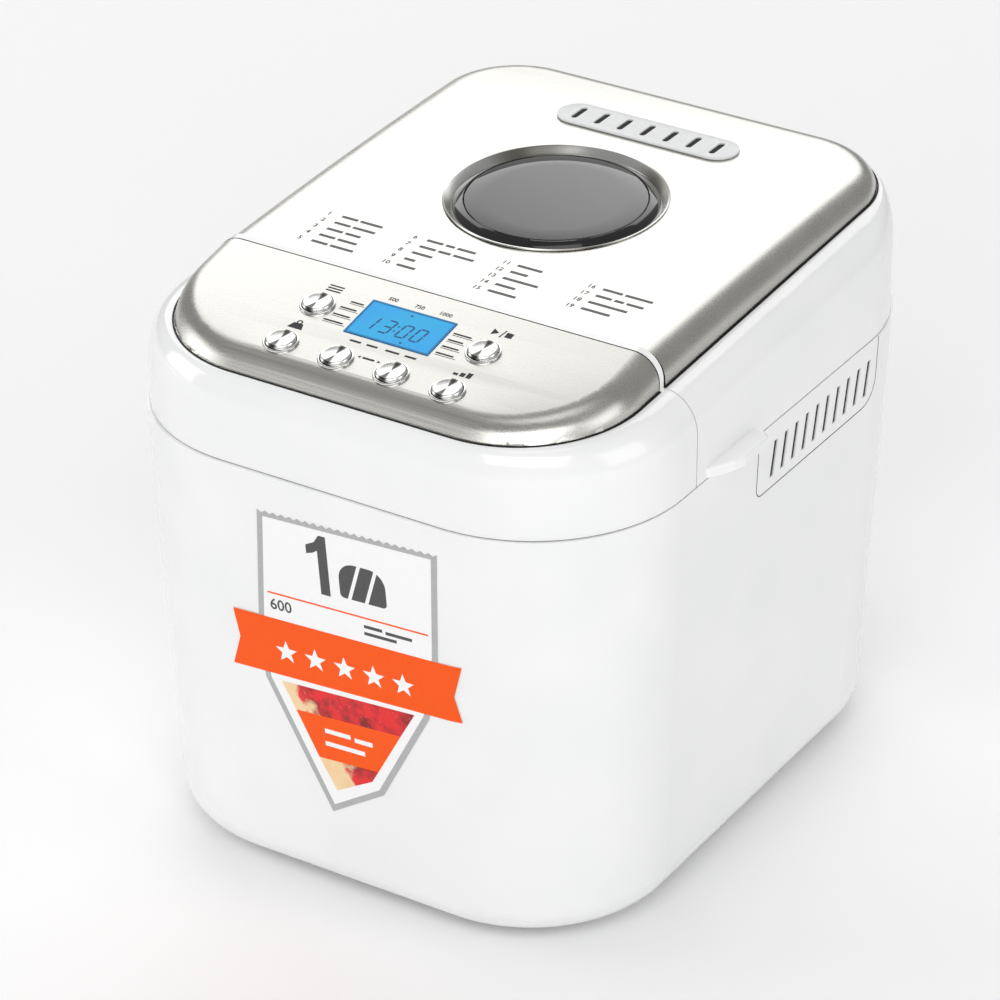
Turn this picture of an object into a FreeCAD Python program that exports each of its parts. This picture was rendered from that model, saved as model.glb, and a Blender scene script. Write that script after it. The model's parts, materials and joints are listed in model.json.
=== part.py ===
import FreeCAD, Part
import math
import os
import re
import Sketcher

# Countertop bread machine. Origin on the table under the centre of the case, -Y is the front, +Z is up.
# All lengths are millimetres and all angles are degrees.

SIZES = {
    # A value that starts with = follows other sizes.
    # Case: a tapered plastic tub up to the waist seam.
    "bodyWidth": 250, "bodyDepth": 309, "waistHeight": 206, "cornerRadius": 71, "baseCorner": 67,
    "taperSide": 7.4, "taperFront": 9.1, "baseRound": 14, "shellWall": 2.6, "footHeight": 6,
    "baseFlange": 12, "lapWidth": 8, "plateThick": 3, "fitGap": 0.4,
    "ledgeHeight": "=waistHeight - 6", "ledgeThick": 4, "ledgeWidth": 6,
    # Upper housing: control housing in front of the lid seam, lid behind it.
    "upperInset": 0.5, "upperFront": "=bodyDepth / 2 - 1.5", "upperRear": "=bodyDepth / 2 - 1.5",
    "seamGap": 0.4, "shoulderStart": "=waistHeight + 28", "steelRise": "=waistHeight + 45.4",
    "steelTilt": 3, "steelRim": 1, "lidSeam": 70, "lidGap": 0.8,
    # Steel skins over the control housing and the lid.
    "steelHalf": "=bodyWidth / 2 - 16.5", "steelFront": "=bodyDepth / 2 - 10.2",
    "steelRear": "=bodyDepth / 2 - 11.7", "steelCornerFront": 54.6, "steelCornerRear": 40,
    "steelRoll": 12, "steelSheet": 0.8, "deckHeight": "=waistHeight + 57.9", "deckRise": 5.8887,
    "deckSlope": "=atan((deckHeight - steelRise + steelFront * tan(steelTilt) - deckRise)"
                 " / (steelFront - lidSeam))",
    "ribWidth": 3.6, "lidHeight": "=waistHeight + 62.2", "lidPeak": 120, "lidCrown": 3250,
    # Controls, placed in the plane of the deck.
    "deckCentre": 100, "buttonPitch": 27, "buttonRadius": 6.4, "bezelRadius": "=buttonRadius + 1.3",
    "bezelWall": 0.9, "buttonProud": 2.2, "buttonGap": 0.35, "buttonTravel": 1.2, "frontRow": -27,
    "backRow": 0.7, "displayWidth": 41.2, "displayHeight": 23.4, "displayCentre": 1.2,
    "boardDepth": 20, "boardThick": 1.6, "boardWidth": 126, "switchHeight": 3.2,
    # Window and steam vent in the lid.
    "windowCentre": 24, "windowGlass": 39.8, "windowBevel": "=windowGlass + 4.9",
    "windowHole": "=windowBevel + 3.3", "windowRing": "=windowHole + 1",
    "ventCentreX": 2, "ventCentreY": 98, "ventLength": 90, "ventWidth": 20, "ventPitch": 11.67,
    "slotWidth": 3, "slotLength": 12,
    # Side vents of the case.
    "sideVentFront": -18, "sideVentRear": 88, "sideVentLow": "=waistHeight - 31.5",
    "sideSlotPitch": 9.2, "sideSlotLow": "=waistHeight - 26", "sideSlotHigh": "=waistHeight - 9",
    "sideSlotFirst": -6.5,
    # Finger tab on the right of the lid.
    "tabReach": 8, "tabFront": -62, "tabRear": -22.5, "tabThick": 4.6,
    # Hinge at the rear.
    "hingeY": "=bodyDepth / 2 + 1", "hingeZ": "=waistHeight - 1", "hingeX": 38, "knuckleRadius": 4,
    "pinRadius": 1.5, "runFit": 0.05, "lugWidth": 14, "earWidth": 4.6, "hingeGap": 0.4,
    "bracketLow": "=waistHeight - 16", "bracketFront": "=bodyDepth / 2 - 4.5",
    # Baking chamber, pan and kneader. They share one upright axis.
    "panCentre": 34, "chamberHalf": 84, "chamberReach": 88, "chamberCorner": 30, "chamberFloor": 40,
    "chamberWall": 1, "chamberLip": 8, "panFloor": 72, "panTop": "=waistHeight - 10",
    "panHalf": "=chamberHalf - 18", "panReach": "=chamberReach - 17", "panTaper": 8, "panCorner": 26,
    "panWall": 1.2, "panBottom": 1.5, "panRound": 8, "panRim": 3,
    "skirtRadius": 39.2, "skirtWall": 2.5, "skirtLow": 43, "socketGap": 0.4, "socketTop": 60,
    "shaftRadius": 4, "bushRadius": 8, "couplingRadius": 13, "couplingThick": 4.5,
    "dogHeight": 6, "couplingLow": 52.5, "couplingGap": 0.6,
    "paddleReach": "=panHalf - 18", "paddleHeight": 24, "paddleThick": 5, "paddleGap": 0.5,
    "bailReach": "=chamberReach - 8", "bailSide": "=panHalf + 8.5", "bailRadius": 2,
    "bailHeight": "=panTop + 3", "linerCeiling": "=waistHeight + 37.5", "linerSheet": 1,
    "elementHeight": 62, "elementSide": "=chamberHalf - 10", "elementReach": "=chamberReach - 10",
    "elementRadius": 3.2, "elementCorner": 24, "elementLead": 14,
    # Drive below the chamber.
    "motorY": -104, "motorRadius": 32, "motorLow": 45, "motorTop": 124, "motorShaft": 3,
    "pulleyRadius": 45, "motorPulley": 10, "pulleyLow": 17, "pulleyThick": 10, "flangeThick": 1.5,
    "flangeRise": 2, "beltGap": 0.35, "beltThick": 2,
    # Power board and motor capacitor, on the base plate.
    "powerLeft": -104, "powerRight": -52, "powerFront": -96, "powerRear": -30,
    "capacitorX": 66, "capacitorY": -76, "capacitorRadius": 13, "capacitorHeight": 38,
    # Fasteners, cord gland and front label.
    "screwRadius": 1.5, "headRadius": 3, "headHeight": 1.8, "glandHeight": 40, "glandX": 40,
    "glandBore": 3.6, "glandRadius": 7, "labelThick": 0.4,
}

doc = FreeCAD.newDocument("bread_machine")
sheet = doc.addObject("Spreadsheet::Sheet", "Sizes")
for row, (alias, length) in enumerate(SIZES.items(), start=1):
    sheet.set("A%d" % row, alias)
    sheet.set("B%d" % row, str(length))
    sheet.setAlias("B%d" % row, alias)
doc.recompute()

X_AXIS = FreeCAD.Vector(1, 0, 0)
Y_AXIS = FreeCAD.Vector(0, 1, 0)
Z_AXIS = FreeCAD.Vector(0, 0, 1)
nodes = []


# ---- Helpers -------------------------------------------------------------------------------------

def link(expression):
    # An expression in plain size names becomes one that FreeCAD can follow to the sheet.
    return re.sub(r"[A-Za-z]\w*", lambda m: "Sizes." + m[0] if m[0] in SIZES else m[0], str(expression))


def amount(expression):
    result = sheet.evalExpression(link(expression))
    return float(getattr(result, "Value", result))


def bind(thing, name, expression):
    thing.setExpression(name, link(expression))


def place(thing, x=0, y=0, z=0, axis=Z_AXIS, angle=0):
    at = FreeCAD.Vector(amount(x), amount(y), amount(z))
    thing.Placement = FreeCAD.Placement(at, FreeCAD.Rotation(axis, amount(angle)))
    for letter, expression in zip("xyz", (x, y, z)):
        bind(thing, ".Placement.Base." + letter, expression)
    if str(angle) != "0":
        bind(thing, ".Placement.Rotation.Angle", angle)
    return thing


def keep(thing, label):
    thing.Label = label
    nodes.append(thing)
    return thing


def newBody(name):
    return doc.addObject("PartDesign::Body", name)


def newSketch(body, name, plane="XY", offset=0, tilt=0):
    sketch = body.newObject("Sketcher::SketchObject", name)
    support = next(f for f in body.Origin.OriginFeatures if f.Role == plane + "_Plane")
    sketch.AttachmentSupport = [(support, "")]
    sketch.MapMode = "FlatFace"
    turn = FreeCAD.Rotation(X_AXIS, amount(tilt))
    sketch.AttachmentOffset = FreeCAD.Placement(FreeCAD.Vector(0, 0, amount(offset)), turn)
    bind(sketch, ".AttachmentOffset.Base.z", offset)
    if str(tilt) != "0":
        bind(sketch, ".AttachmentOffset.Rotation.Angle", tilt)
    return sketch


def size(sketch, *constraint):
    # Adds a dimension whose last item is an expression of size names.
    index = sketch.addConstraint(Sketcher.Constraint(*constraint[:-1], amount(constraint[-1])))
    bind(sketch, "Constraints[%d]" % index, constraint[-1])


def fixPoint(sketch, item, end, x, y):
    if str(x) == "0":
        sketch.addConstraint(Sketcher.Constraint("PointOnObject", item, end, -2))
    else:
        size(sketch, "DistanceX", -1, 1, item, end, x)
    if str(y) == "0":
        sketch.addConstraint(Sketcher.Constraint("PointOnObject", item, end, -1))
    else:
        size(sketch, "DistanceY", -1, 1, item, end, y)


def polygon(sketch, points):
    # Straight outline through points given as pairs of expressions.
    corners = [FreeCAD.Vector(amount(x), amount(y), 0) for x, y in points]
    first = sketch.GeometryCount
    count = len(corners)
    for i in range(count):
        sketch.addGeometry(Part.LineSegment(corners[i], corners[(i + 1) % count]))
    for i in range(count):
        joint = (first + i, 2, first + (i + 1) % count, 1)
        sketch.addConstraint(Sketcher.Constraint("Coincident", *joint))
        fixPoint(sketch, first + i, 1, *points[i])
    return sketch


def circle(sketch, x, y, radius):
    centre = FreeCAD.Vector(amount(x), amount(y), 0)
    item = sketch.addGeometry(Part.Circle(centre, Z_AXIS, amount(radius)))
    fixPoint(sketch, item, 3, x, y)
    size(sketch, "Radius", item, radius)
    return sketch


def squarePath(sketch, corners, radii, closed=True):
    # Path of level and upright lines through the corners, with an arc at each corner that has a radius.
    points = [FreeCAD.Vector(amount(x), amount(y), 0) for x, y in corners]
    count = len(points)
    turns = range(count) if closed else range(1, count - 1)
    cut = {i: amount(radii[i]) for i in turns if radii[i]}
    lines = {}
    for i in range(count if closed else count - 1):
        j = (i + 1) % count
        along = (points[j] - points[i]).normalize()
        start = points[i] + along * cut.get(i, 0)
        end = points[j] - along * cut.get(j, 0)
        lines[i] = sketch.addGeometry(Part.LineSegment(start, end))
        level = str(corners[i][1]) == str(corners[j][1])
        sketch.addConstraint(Sketcher.Constraint("Horizontal" if level else "Vertical", lines[i]))
        spot = corners[i][1] if level else corners[i][0]
        if str(spot) == "0":
            sketch.addConstraint(Sketcher.Constraint("PointOnObject", lines[i], 1, -1 if level else -2))
        else:
            size(sketch, "DistanceY" if level else "DistanceX", -1, 1, lines[i], 1, spot)
    for i in turns:
        before = lines[(i - 1) % count]
        after = lines[i]
        if i not in cut:
            sketch.addConstraint(Sketcher.Constraint("Coincident", before, 2, after, 1))
            continue
        incoming = (points[i] - points[i - 1]).normalize()
        outgoing = (points[(i + 1) % count] - points[i]).normalize()
        centre = points[i] - incoming * cut[i] + outgoing * cut[i]
        start = points[i] - incoming * cut[i]
        end = points[i] + outgoing * cut[i]
        leftTurn = incoming.cross(outgoing).z > 0
        low, high = (start, end) if leftTurn else (end, start)
        angles = [math.atan2((p - centre).y, (p - centre).x) for p in (low, high)]
        if angles[1] < angles[0]:
            angles[1] += 2 * math.pi
        arc = sketch.addGeometry(Part.ArcOfCircle(Part.Circle(centre, Z_AXIS, cut[i]), *angles))
        first, last = (1, 2) if leftTurn else (2, 1)
        sketch.addConstraint(Sketcher.Constraint("Tangent", before, 2, arc, first))
        sketch.addConstraint(Sketcher.Constraint("Tangent", arc, last, after, 1))
        size(sketch, "Radius", arc, radii[i])
    if not closed:
        final = lines[count - 2]
        startLevel = str(corners[0][1]) == str(corners[1][1])
        endLevel = str(corners[-1][1]) == str(corners[-2][1])
        size(sketch, "DistanceX" if startLevel else "DistanceY", -1, 1, lines[0], 1,
             corners[0][0] if startLevel else corners[0][1])
        size(sketch, "DistanceX" if endLevel else "DistanceY", -1, 1, final, 2,
             corners[-1][0] if endLevel else corners[-1][1])
    return sketch


def outline(sketch, half, front, rear, cornerFront, cornerRear):
    # Rounded rectangle, symmetric about the YZ plane. A corner of 0 is square.
    left = "-(%s)" % half
    corners = [(left, front), (half, front), (half, rear), (left, rear)]
    radii = [cornerFront, cornerFront, cornerRear, cornerRear]
    return squarePath(sketch, corners, radii)


def extrude(body, kind, sketch, length, reverse=False, symmetric=False):
    feature = body.newObject("PartDesign::" + kind, sketch.Name + kind)
    feature.Profile = sketch
    feature.SideType = "Symmetric" if symmetric else "One side"
    feature.Reversed = reverse
    bind(feature, "Length", length)
    doc.recompute()
    return feature


def loft(body, kind, sketches, ruled=False):
    feature = body.newObject("PartDesign::" + kind, sketches[0].Name + "Loft")
    feature.Profile = sketches[0]
    feature.Sections = sketches[1:]
    feature.Ruled = ruled
    doc.recompute()
    return feature


def roundEdges(body, name, radius, test):
    # Fillets the edges of the body's last feature that pass the test.
    base = body.Tip
    chosen = ["Edge%d" % (i + 1) for i, edge in enumerate(base.Shape.Edges) if test(edge)]
    feature = body.newObject("PartDesign::Fillet", name)
    feature.Base = (base, chosen)
    bind(feature, "Radius", radius)
    doc.recompute()
    return feature


def revolve(label, profile, x=0, y=0, z=0, axis=X_AXIS, angle=0):
    # Solid of revolution about its own Z axis from pairs of radius and height.
    body = newBody(label)
    sketch = polygon(newSketch(body, label + "Profile", "XZ"), profile)
    feature = body.newObject("PartDesign::Revolution", label + "Turn")
    feature.Profile = sketch
    feature.ReferenceAxis = (sketch, ["V_Axis"])
    feature.Angle = 360
    doc.recompute()
    return place(body, x, y, z, axis, angle)


def cylinder(name, radius, height, x=0, y=0, z=0, axis=X_AXIS, angle=0):
    thing = doc.addObject("Part::Cylinder", name)
    bind(thing, "Radius", radius)
    bind(thing, "Height", height)
    return place(thing, x, y, z, axis, angle)


def block(name, x, y, z, axis=X_AXIS, angle=0):
    # Box between pairs of low and high expressions. A turn is made about the origin of the box.
    thing = doc.addObject("Part::Box", name)
    for side, (low, high) in zip(("Length", "Width", "Height"), (x, y, z)):
        bind(thing, side, "(%s) - (%s)" % (high, low))
    return place(thing, x[0], y[0], z[0], axis, angle)


def fuse(name, pieces):
    thing = doc.addObject("Part::MultiFuse", name)
    thing.Shapes = pieces
    doc.recompute()
    return thing


def cut(name, base, tools):
    thing = doc.addObject("Part::Cut", name)
    thing.Base = base
    thing.Tool = tools[0] if len(tools) == 1 else fuse(name + "Tools", tools)
    doc.recompute()
    return thing


def common(name, base, tool):
    thing = doc.addObject("Part::Common", name)
    thing.Base = base
    thing.Tool = tool
    doc.recompute()
    return thing


def group(name, pieces):
    thing = doc.addObject("Part::Compound", name)
    thing.Links = pieces
    doc.recompute()
    return thing


# ---- Case ----------------------------------------------------------------------------------------

def caseOutline(body, name, height, inset):
    # Cross-section of the tapered case at a height, moved inwards by an inset.
    share = "((waistHeight - (%s)) / (waistHeight - footHeight))" % height
    half = "bodyWidth / 2 - taperSide * %s - (%s)" % (share, inset)
    reach = "bodyDepth / 2 - taperFront * %s - (%s)" % (share, inset)
    corner = "cornerRadius - (cornerRadius - baseCorner) * %s - (%s)" % (share, inset)
    sketch = newSketch(body, name, "XY", height)
    return outline(sketch, half, "-(%s)" % reach, reach, corner, corner)


def innerCaseOutline(body, name, height, inset):
    return caseOutline(body, name, height, "%s + shellWall" % inset)


def caseLoft(body, kind, name, low, high, inset):
    lower = caseOutline(body, name + "Low", low, inset)
    upper = caseOutline(body, name + "High", high, inset)
    return loft(body, kind, [lower, upper], ruled=True)


def dish(body, kind, section, name, low, high, radius):
    # Solid with a rounded bottom edge. section draws one outline at a height and an inset.
    sketches = []
    for i in range(5):
        lift = 1 - math.cos(math.radians(22.5 * i))
        draw = 1 - math.sin(math.radians(22.5 * i))
        height = "%s + (%s) * %.5f" % (low, radius, lift)
        sketches.append(section(body, "%sRound%d" % (name, i), height, "(%s) * %.5f" % (radius, draw)))
    loft(body, kind, sketches)
    return loft(body, kind, [sketches[-1], section(body, name + "Top", high, "0")], ruled=True)


def caseWall(name, inner, outer):
    # Upright wall between two insets from the outer surface of the case.
    body = newBody(name)
    caseLoft(body, "AdditiveLoft", name + "Outer", "footHeight", "waistHeight", outer)
    caseLoft(body, "SubtractiveLoft", name + "Inner", "footHeight - 1", "waistHeight + 1", inner)
    return body


def sideVentPrism(name, side, gap):
    # Rounded block that reaches through one side wall, as the vent panel's opening does.
    body = newBody(name)
    low, high = "sideVentFront + %s" % gap, "sideVentRear - %s" % gap
    sketch = newSketch(body, name + "Outline", "YZ", "%d * (bodyWidth / 2 - 20)" % side)
    top = "waistHeight + 5 - %s" % gap
    squarePath(sketch, [(low, "sideVentLow + %s" % gap), (high, "sideVentLow + %s" % gap),
                        (high, top), (low, top)], ["5", "12", None, None])
    extrude(body, "Pad", sketch, "30", reverse=side < 0)
    return body


def bodyShell():
    body = newBody("shellTub")
    dish(body, "AdditiveLoft", caseOutline, "shellOuter", "footHeight", "waistHeight", "baseRound")
    dish(body, "SubtractiveLoft", innerCaseOutline, "shellInner", "footHeight + shellWall", "waistHeight + 1",
         "baseRound - shellWall")
    ledge = caseOutline(body, "shellLedge", "ledgeHeight - ledgeThick", "shellWall / 2")
    share = "((waistHeight - ledgeHeight + ledgeThick) / (waistHeight - footHeight))"
    half = "bodyWidth / 2 - taperSide * %s - shellWall - ledgeWidth" % share
    reach = "bodyDepth / 2 - taperFront * %s - shellWall - ledgeWidth" % share
    corner = "cornerRadius - shellWall - ledgeWidth"
    outline(ledge, half, "-(%s)" % reach, reach, corner, corner)
    extrude(body, "Pad", ledge, "ledgeThick")
    opening = newSketch(body, "shellOpening", "XY", "footHeight - 1")
    basePlateOutline(opening, "0")
    extrude(body, "Pocket", opening, "shellWall + 2", reverse=True)
    notches = [hingeNotch(side) for side in (-1, 1)]
    gland = cylinder("glandHole", "glandRadius", "20", "glandX", "bodyDepth / 2 + 3", "glandHeight",
                     X_AXIS, "90")
    vents = [sideVentPrism("ventOpening%d" % i, side, "0") for i, side in enumerate((-1, 1))]
    holes = screwHoles("shellScrewHole", baseScrewSpots(), "footHeight - 1", "shellWall + 2")
    keep(cut("shellCut", body, notches + vents + [gland] + holes), "body_shell")


def basePlateOutline(sketch, inset):
    # Opening in the underside of the case, and the plate that fills it.
    side = "bodyWidth / 2 - taperSide - baseRound - baseFlange - (%s)" % inset
    reach = "bodyDepth / 2 - taperFront - baseRound - baseFlange - (%s)" % inset
    corner = "baseCorner - baseRound - baseFlange - (%s)" % inset
    return outline(sketch, side, "-(%s)" % reach, reach, corner, corner)


def baseScrewSpots():
    side = "bodyWidth / 2 - taperSide - baseRound - baseFlange + lapWidth / 2"
    reach = "bodyDepth / 2 - taperFront - baseRound - baseFlange + lapWidth / 2"
    spots = [("%d * (%s)" % (i, side), "%d" % y) for i in (-1, 1) for y in (-60, 60)]
    return spots + [("0", "%d * (%s)" % (i, reach)) for i in (-1, 1)]


def legSpots():
    return [("%d * (chamberHalf - 24)" % i, "panCentre + %d * (chamberReach - 36)" % j)
            for i in (-1, 1) for j in (-1, 1)]


def footSpots():
    return [("%d * (bodyWidth / 2 - 55)" % i, "%d * (bodyDepth / 2 - 58.5)" % j)
            for j in (-1, 1) for i in (-1, 1)]


def screwHoles(name, spots, low, height, radius="screwRadius"):
    return [cylinder("%s%d" % (name, i), radius, height, x, y, low) for i, (x, y) in enumerate(spots)]


def basePlate():
    top = "footHeight + shellWall + plateThick"
    body = newBody("basePlate")
    extrude(body, "Pad", basePlateOutline(newSketch(body, "basePlug", "XY", "footHeight"), "fitGap"),
            "shellWall + plateThick")
    lap = basePlateOutline(newSketch(body, "baseLap", "XY", "footHeight + shellWall"), "-lapWidth")
    extrude(body, "Pad", lap, "plateThick")
    legs = newSketch(body, "baseLegs", "XY", "footHeight + shellWall")
    for x, y in legSpots():
        circle(legs, x, y, "6")
    extrude(body, "Pad", legs, "chamberFloor - footHeight - shellWall")
    bosses = newSketch(body, "baseBosses", "XY", top)
    for x, y in baseScrewSpots():
        circle(bosses, x, y, "3.5")
    extrude(body, "Pad", bosses, "8")
    grille = newSketch(body, "baseGrille", "XY", "footHeight - 1")
    for i in range(7):
        low = -118 + 7 * i
        squarePath(grille, [(-20, low), (20, low), (20, low + 3), (-20, low + 3)], [None] * 4)
    extrude(body, "Pocket", grille, "shellWall + plateThick + 2", reverse=True)
    stems = screwHoles("baseStemHole", footSpots(), "footHeight - 1", "20", "4")
    screws = screwHoles("baseScrewHole", baseScrewSpots(), "footHeight", "12")
    legHoles = screwHoles("baseLegHole", legSpots(), "chamberFloor - 12", "12")
    keep(cut("baseCut", body, stems + screws + legHoles), "base_plate")


def feet():
    names = ("foot_front_left", "foot_front_right", "foot_rear_left", "foot_rear_right")
    top = "footHeight + shellWall + plateThick"
    profile = [("0", "0"), ("10.5", "0"), ("12", "1.5"), ("12", "footHeight"), ("4", "footHeight"),
               ("4", top), ("5", top), ("3", top + " + 4"), ("0", top + " + 4")]
    for name, (x, y) in zip(names, footSpots()):
        keep(revolve(name, profile, x, y), name)


def sideVents():
    wall = caseWall("ventWall", "shellWall", "0")
    for name, side in (("side_vent_left", -1), ("side_vent_right", 1)):
        panel = common(name + "Panel", wall, sideVentPrism(name + "Prism", side, "0"))
        slots = newBody(name + "Slots")
        sketch = newSketch(slots, name + "SlotOutline", "YZ", "%d * (bodyWidth / 2 - 20)" % side)
        for i in range(10):
            low = "sideSlotFirst + %d * sideSlotPitch" % i
            lean = low + " + 2.4"
            polygon(sketch, [(low, "sideSlotLow"), (low + " + slotWidth", "sideSlotLow"),
                             (lean + " + slotWidth", "sideSlotHigh"), (lean, "sideSlotHigh")])
        extrude(slots, "Pad", sketch, "30", reverse=side < 0)
        keep(cut(name + "Cut", panel, [slots]), name)


# Corners of the tag, across and up the front, with the ribbon's forked ends at each side.
LABEL = [
    ("-36", "188.8"), ("-38.2", "136.2"), ("-51.3", "135.4"), ("-48.5", "122"), ("-52.7", "107.3"),
    ("-37.3", "108.3"), ("-5.7", "46.4"), ("20.8", "64"), ("46.7", "113.6"), ("61.5", "114.5"),
    ("58.1", "126.4"), ("62", "141.8"), ("50.8", "141.1"), ("52.3", "193.8"),
]


def frontLabel():
    # Adhesive label on the front: a tapering tag with a ribbon across it.
    wall = caseWall("labelWall", "0", "-labelThick")
    body = newBody("labelPrism")
    sketch = newSketch(body, "labelOutline", "XZ", "bodyDepth / 2 - 30")
    polygon(sketch, LABEL)
    extrude(body, "Pad", sketch, "40")
    keep(common("labelSheet", wall, body), "front_label")


def topDeck():
    # Plate that closes the case around the mouth of the baking chamber.
    body = newBody("topDeck")
    sketch = caseOutline(body, "topDeckOutline", "ledgeHeight", "shellWall + fitGap")
    chamberOutline(sketch, "chamberWall")
    extrude(body, "Pad", sketch, "plateThick")
    slot = newSketch(body, "cableSlot", "XY", "ledgeHeight - 1")
    squarePath(slot, [(-30, -128), (30, -128), (30, -110), (-30, -110)], [None] * 4)
    extrude(body, "Pocket", slot, "plateThick + 2", reverse=True)
    holes = screwHoles("deckScrewHole", housingScrewSpots(), "ledgeHeight - 1", "plateThick + 2")
    keep(cut("topDeckCut", body, holes), "top_deck")


# ---- Upper housing: control housing, lid and their steel skins -----------------------------------

def shoulderSections(body, name, front, rear, cornerFront, cornerRear, inset):
    # Sections of the rounded shoulder, from the upright wall in to the edge of the steel skin.
    # cornerFront and cornerRear say which end of the outline is rounded.
    sections = []
    for i in range(5):
        lift = math.sin(math.radians(22.5 * i))
        move = 1 - math.cos(math.radians(22.5 * i))
        wide = "(bodyWidth / 2 - upperInset)"
        half = wide + " - (%s - steelHalf - steelRim) * %.5f" % (wide, move)
        radiusFront = "cornerRadius - (cornerRadius - steelCornerFront) * %.5f - (%s)" % (move, inset)
        radiusRear = "cornerRadius - (cornerRadius - steelCornerRear) * %.5f - (%s)" % (move, inset)
        low = front if not cornerFront else (
            "-(upperFront - (upperFront - steelFront - steelRim) * %.5f - (%s))" % (move, inset))
        high = rear if not cornerRear else (
            "upperRear - (upperRear - steelRear - steelRim) * %.5f - (%s)" % (move, inset))
        height = "shoulderStart + (steelRise - (%s) - shoulderStart) * %.5f" % (inset, lift)
        sketch = newSketch(body, "%sShoulder%d" % (name, i), "XY", height, "steelTilt")
        outline(sketch, "%s - (%s)" % (half, inset), low, high,
                radiusFront if cornerFront else None, radiusRear if cornerRear else None)
        sections.append(sketch)
    return sections


def upperSolid(body, name, front, rear, cornerFront, cornerRear, inset, low):
    # Upright wall from the waist seam to the shoulder, then the rounded shoulder.
    kind = "AdditiveLoft" if inset == "0" else "SubtractiveLoft"
    foot = newSketch(body, name + "Foot", "XY", low)
    lowFront = "-(upperFront - (%s))" % inset if cornerFront else front
    highRear = "upperRear - (%s)" % inset if cornerRear else rear
    corner = "cornerRadius - (%s)" % inset
    outline(foot, "bodyWidth / 2 - upperInset - (%s)" % inset, lowFront, highRear,
            corner if cornerFront else None, corner if cornerRear else None)
    sections = shoulderSections(body, name, front, rear, cornerFront, cornerRear, inset)
    loft(body, kind, [foot, sections[0]], ruled=True)
    loft(body, kind, sections)


def pillow(name, front, rear, cornerFront, cornerRear, inset, crowned):
    # Solid under a pressed steel skin: flat deck or crowned lid with rolled edges.
    body = newBody(name)
    plan = newSketch(body, name + "Plan", "XY", "steelRise - 30")
    outline(plan, "steelHalf - (%s)" % inset, front, rear, cornerFront, cornerRear)
    extrude(body, "Pad", plan, "80")
    above = newSketch(body, name + "Above", "YZ")
    if crowned:
        crownOutline(above, inset)
    else:
        rise = "deckHeight - (%s) / cos(deckSlope)" % inset
        high, low = "-lidSeam + 60", "-lidSeam - 120"
        polygon(above, [(low, rise + " - 120 * tan(deckSlope)"), (high, rise + " + 60 * tan(deckSlope)"),
                        (high, "deckHeight + 80"), (low, "deckHeight + 80")])
    extrude(body, "Pocket", above, "bodyWidth * 2", symmetric=True)
    top = amount("steelRise - 12")

    def rolled(edge):
        middle = edge.valueAt((edge.FirstParameter + edge.LastParameter) / 2)
        box = edge.BoundBox
        atSeam = box.YLength < 0.01 and abs(middle.y + amount("lidSeam")) < 6
        upright = box.ZLength > 15 and box.YLength < 1 and box.XLength < 1
        return box.ZMin > top and not atSeam and not upright

    roundEdges(body, name + "Roll", "steelRoll - (%s)" % inset, rolled)
    below = newSketch(body, name + "Below", "YZ")
    polygon(below, [("-200", "steelRise - 200 * tan(steelTilt)"), ("-200", "100"), ("200", "100"),
                    ("200", "steelRise + 200 * tan(steelTilt)")])
    extrude(body, "Pocket", below, "bodyWidth * 2", symmetric=True)
    return body


def crownOutline(sketch, inset):
    # Region above the gently crowned top of the lid.
    radius = amount("lidCrown - (%s)" % inset)
    centre = FreeCAD.Vector(amount("lidPeak"), amount("lidHeight - lidCrown"), 0)
    ends = []
    for y in (-110, 180):
        rise = math.sqrt(radius ** 2 - (y - centre.x) ** 2)
        ends.append(FreeCAD.Vector(y, centre.y + rise, 0))
    middle = FreeCAD.Vector(centre.x, centre.y + radius, 0)
    arc = sketch.addGeometry(Part.Arc(ends[0], middle, ends[1]))
    high = amount("lidHeight + 80")
    corners = [ends[1], FreeCAD.Vector(180, high, 0), FreeCAD.Vector(-110, high, 0), ends[0]]
    lines = [sketch.addGeometry(Part.LineSegment(a, b)) for a, b in zip(corners, corners[1:])]
    sketch.addConstraint(Sketcher.Constraint("Coincident", lines[0], 2, lines[1], 1))
    sketch.addConstraint(Sketcher.Constraint("Coincident", lines[1], 2, lines[2], 1))
    right, left = (1, 2) if sketch.getPoint(arc, 1).x > 0 else (2, 1)
    sketch.addConstraint(Sketcher.Constraint("Coincident", lines[0], 1, arc, right))
    sketch.addConstraint(Sketcher.Constraint("Coincident", lines[2], 2, arc, left))
    sketch.addConstraint(Sketcher.Constraint("Vertical", lines[0]))
    sketch.addConstraint(Sketcher.Constraint("Vertical", lines[2]))
    fixPoint(sketch, arc, 3, "lidPeak", "lidHeight - lidCrown")
    size(sketch, "Radius", arc, "lidCrown - (%s)" % inset)
    fixPoint(sketch, lines[0], 2, "180", "lidHeight + 80")
    fixPoint(sketch, lines[1], 2, "-110", "lidHeight + 80")


FRONT_SEAM = "-lidSeam - lidGap / 2"
REAR_SEAM = "-lidSeam + lidGap / 2"
SKIN_SEAM = "-lidSeam - ribWidth"


def onDeck(local, drop="0"):
    # Height and depth of a point given along the slope of the deck and below its surface.
    y = "-deckCentre + (%s) * cos(deckSlope) + (%s) * sin(deckSlope)" % (local, drop)
    z = ("deckHeight + (lidSeam - deckCentre) * tan(deckSlope) + (%s) * sin(deckSlope)"
         " - (%s) * cos(deckSlope)") % (local, drop)
    return y, z


def deckCylinder(name, radius, low, high, x, local):
    # Cylinder square to the deck, between two heights measured from its surface.
    y, z = onDeck(local, "-(%s)" % low)
    return cylinder(name, radius, "(%s) - (%s)" % (high, low), x, y, z, X_AXIS, "deckSlope")


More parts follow.
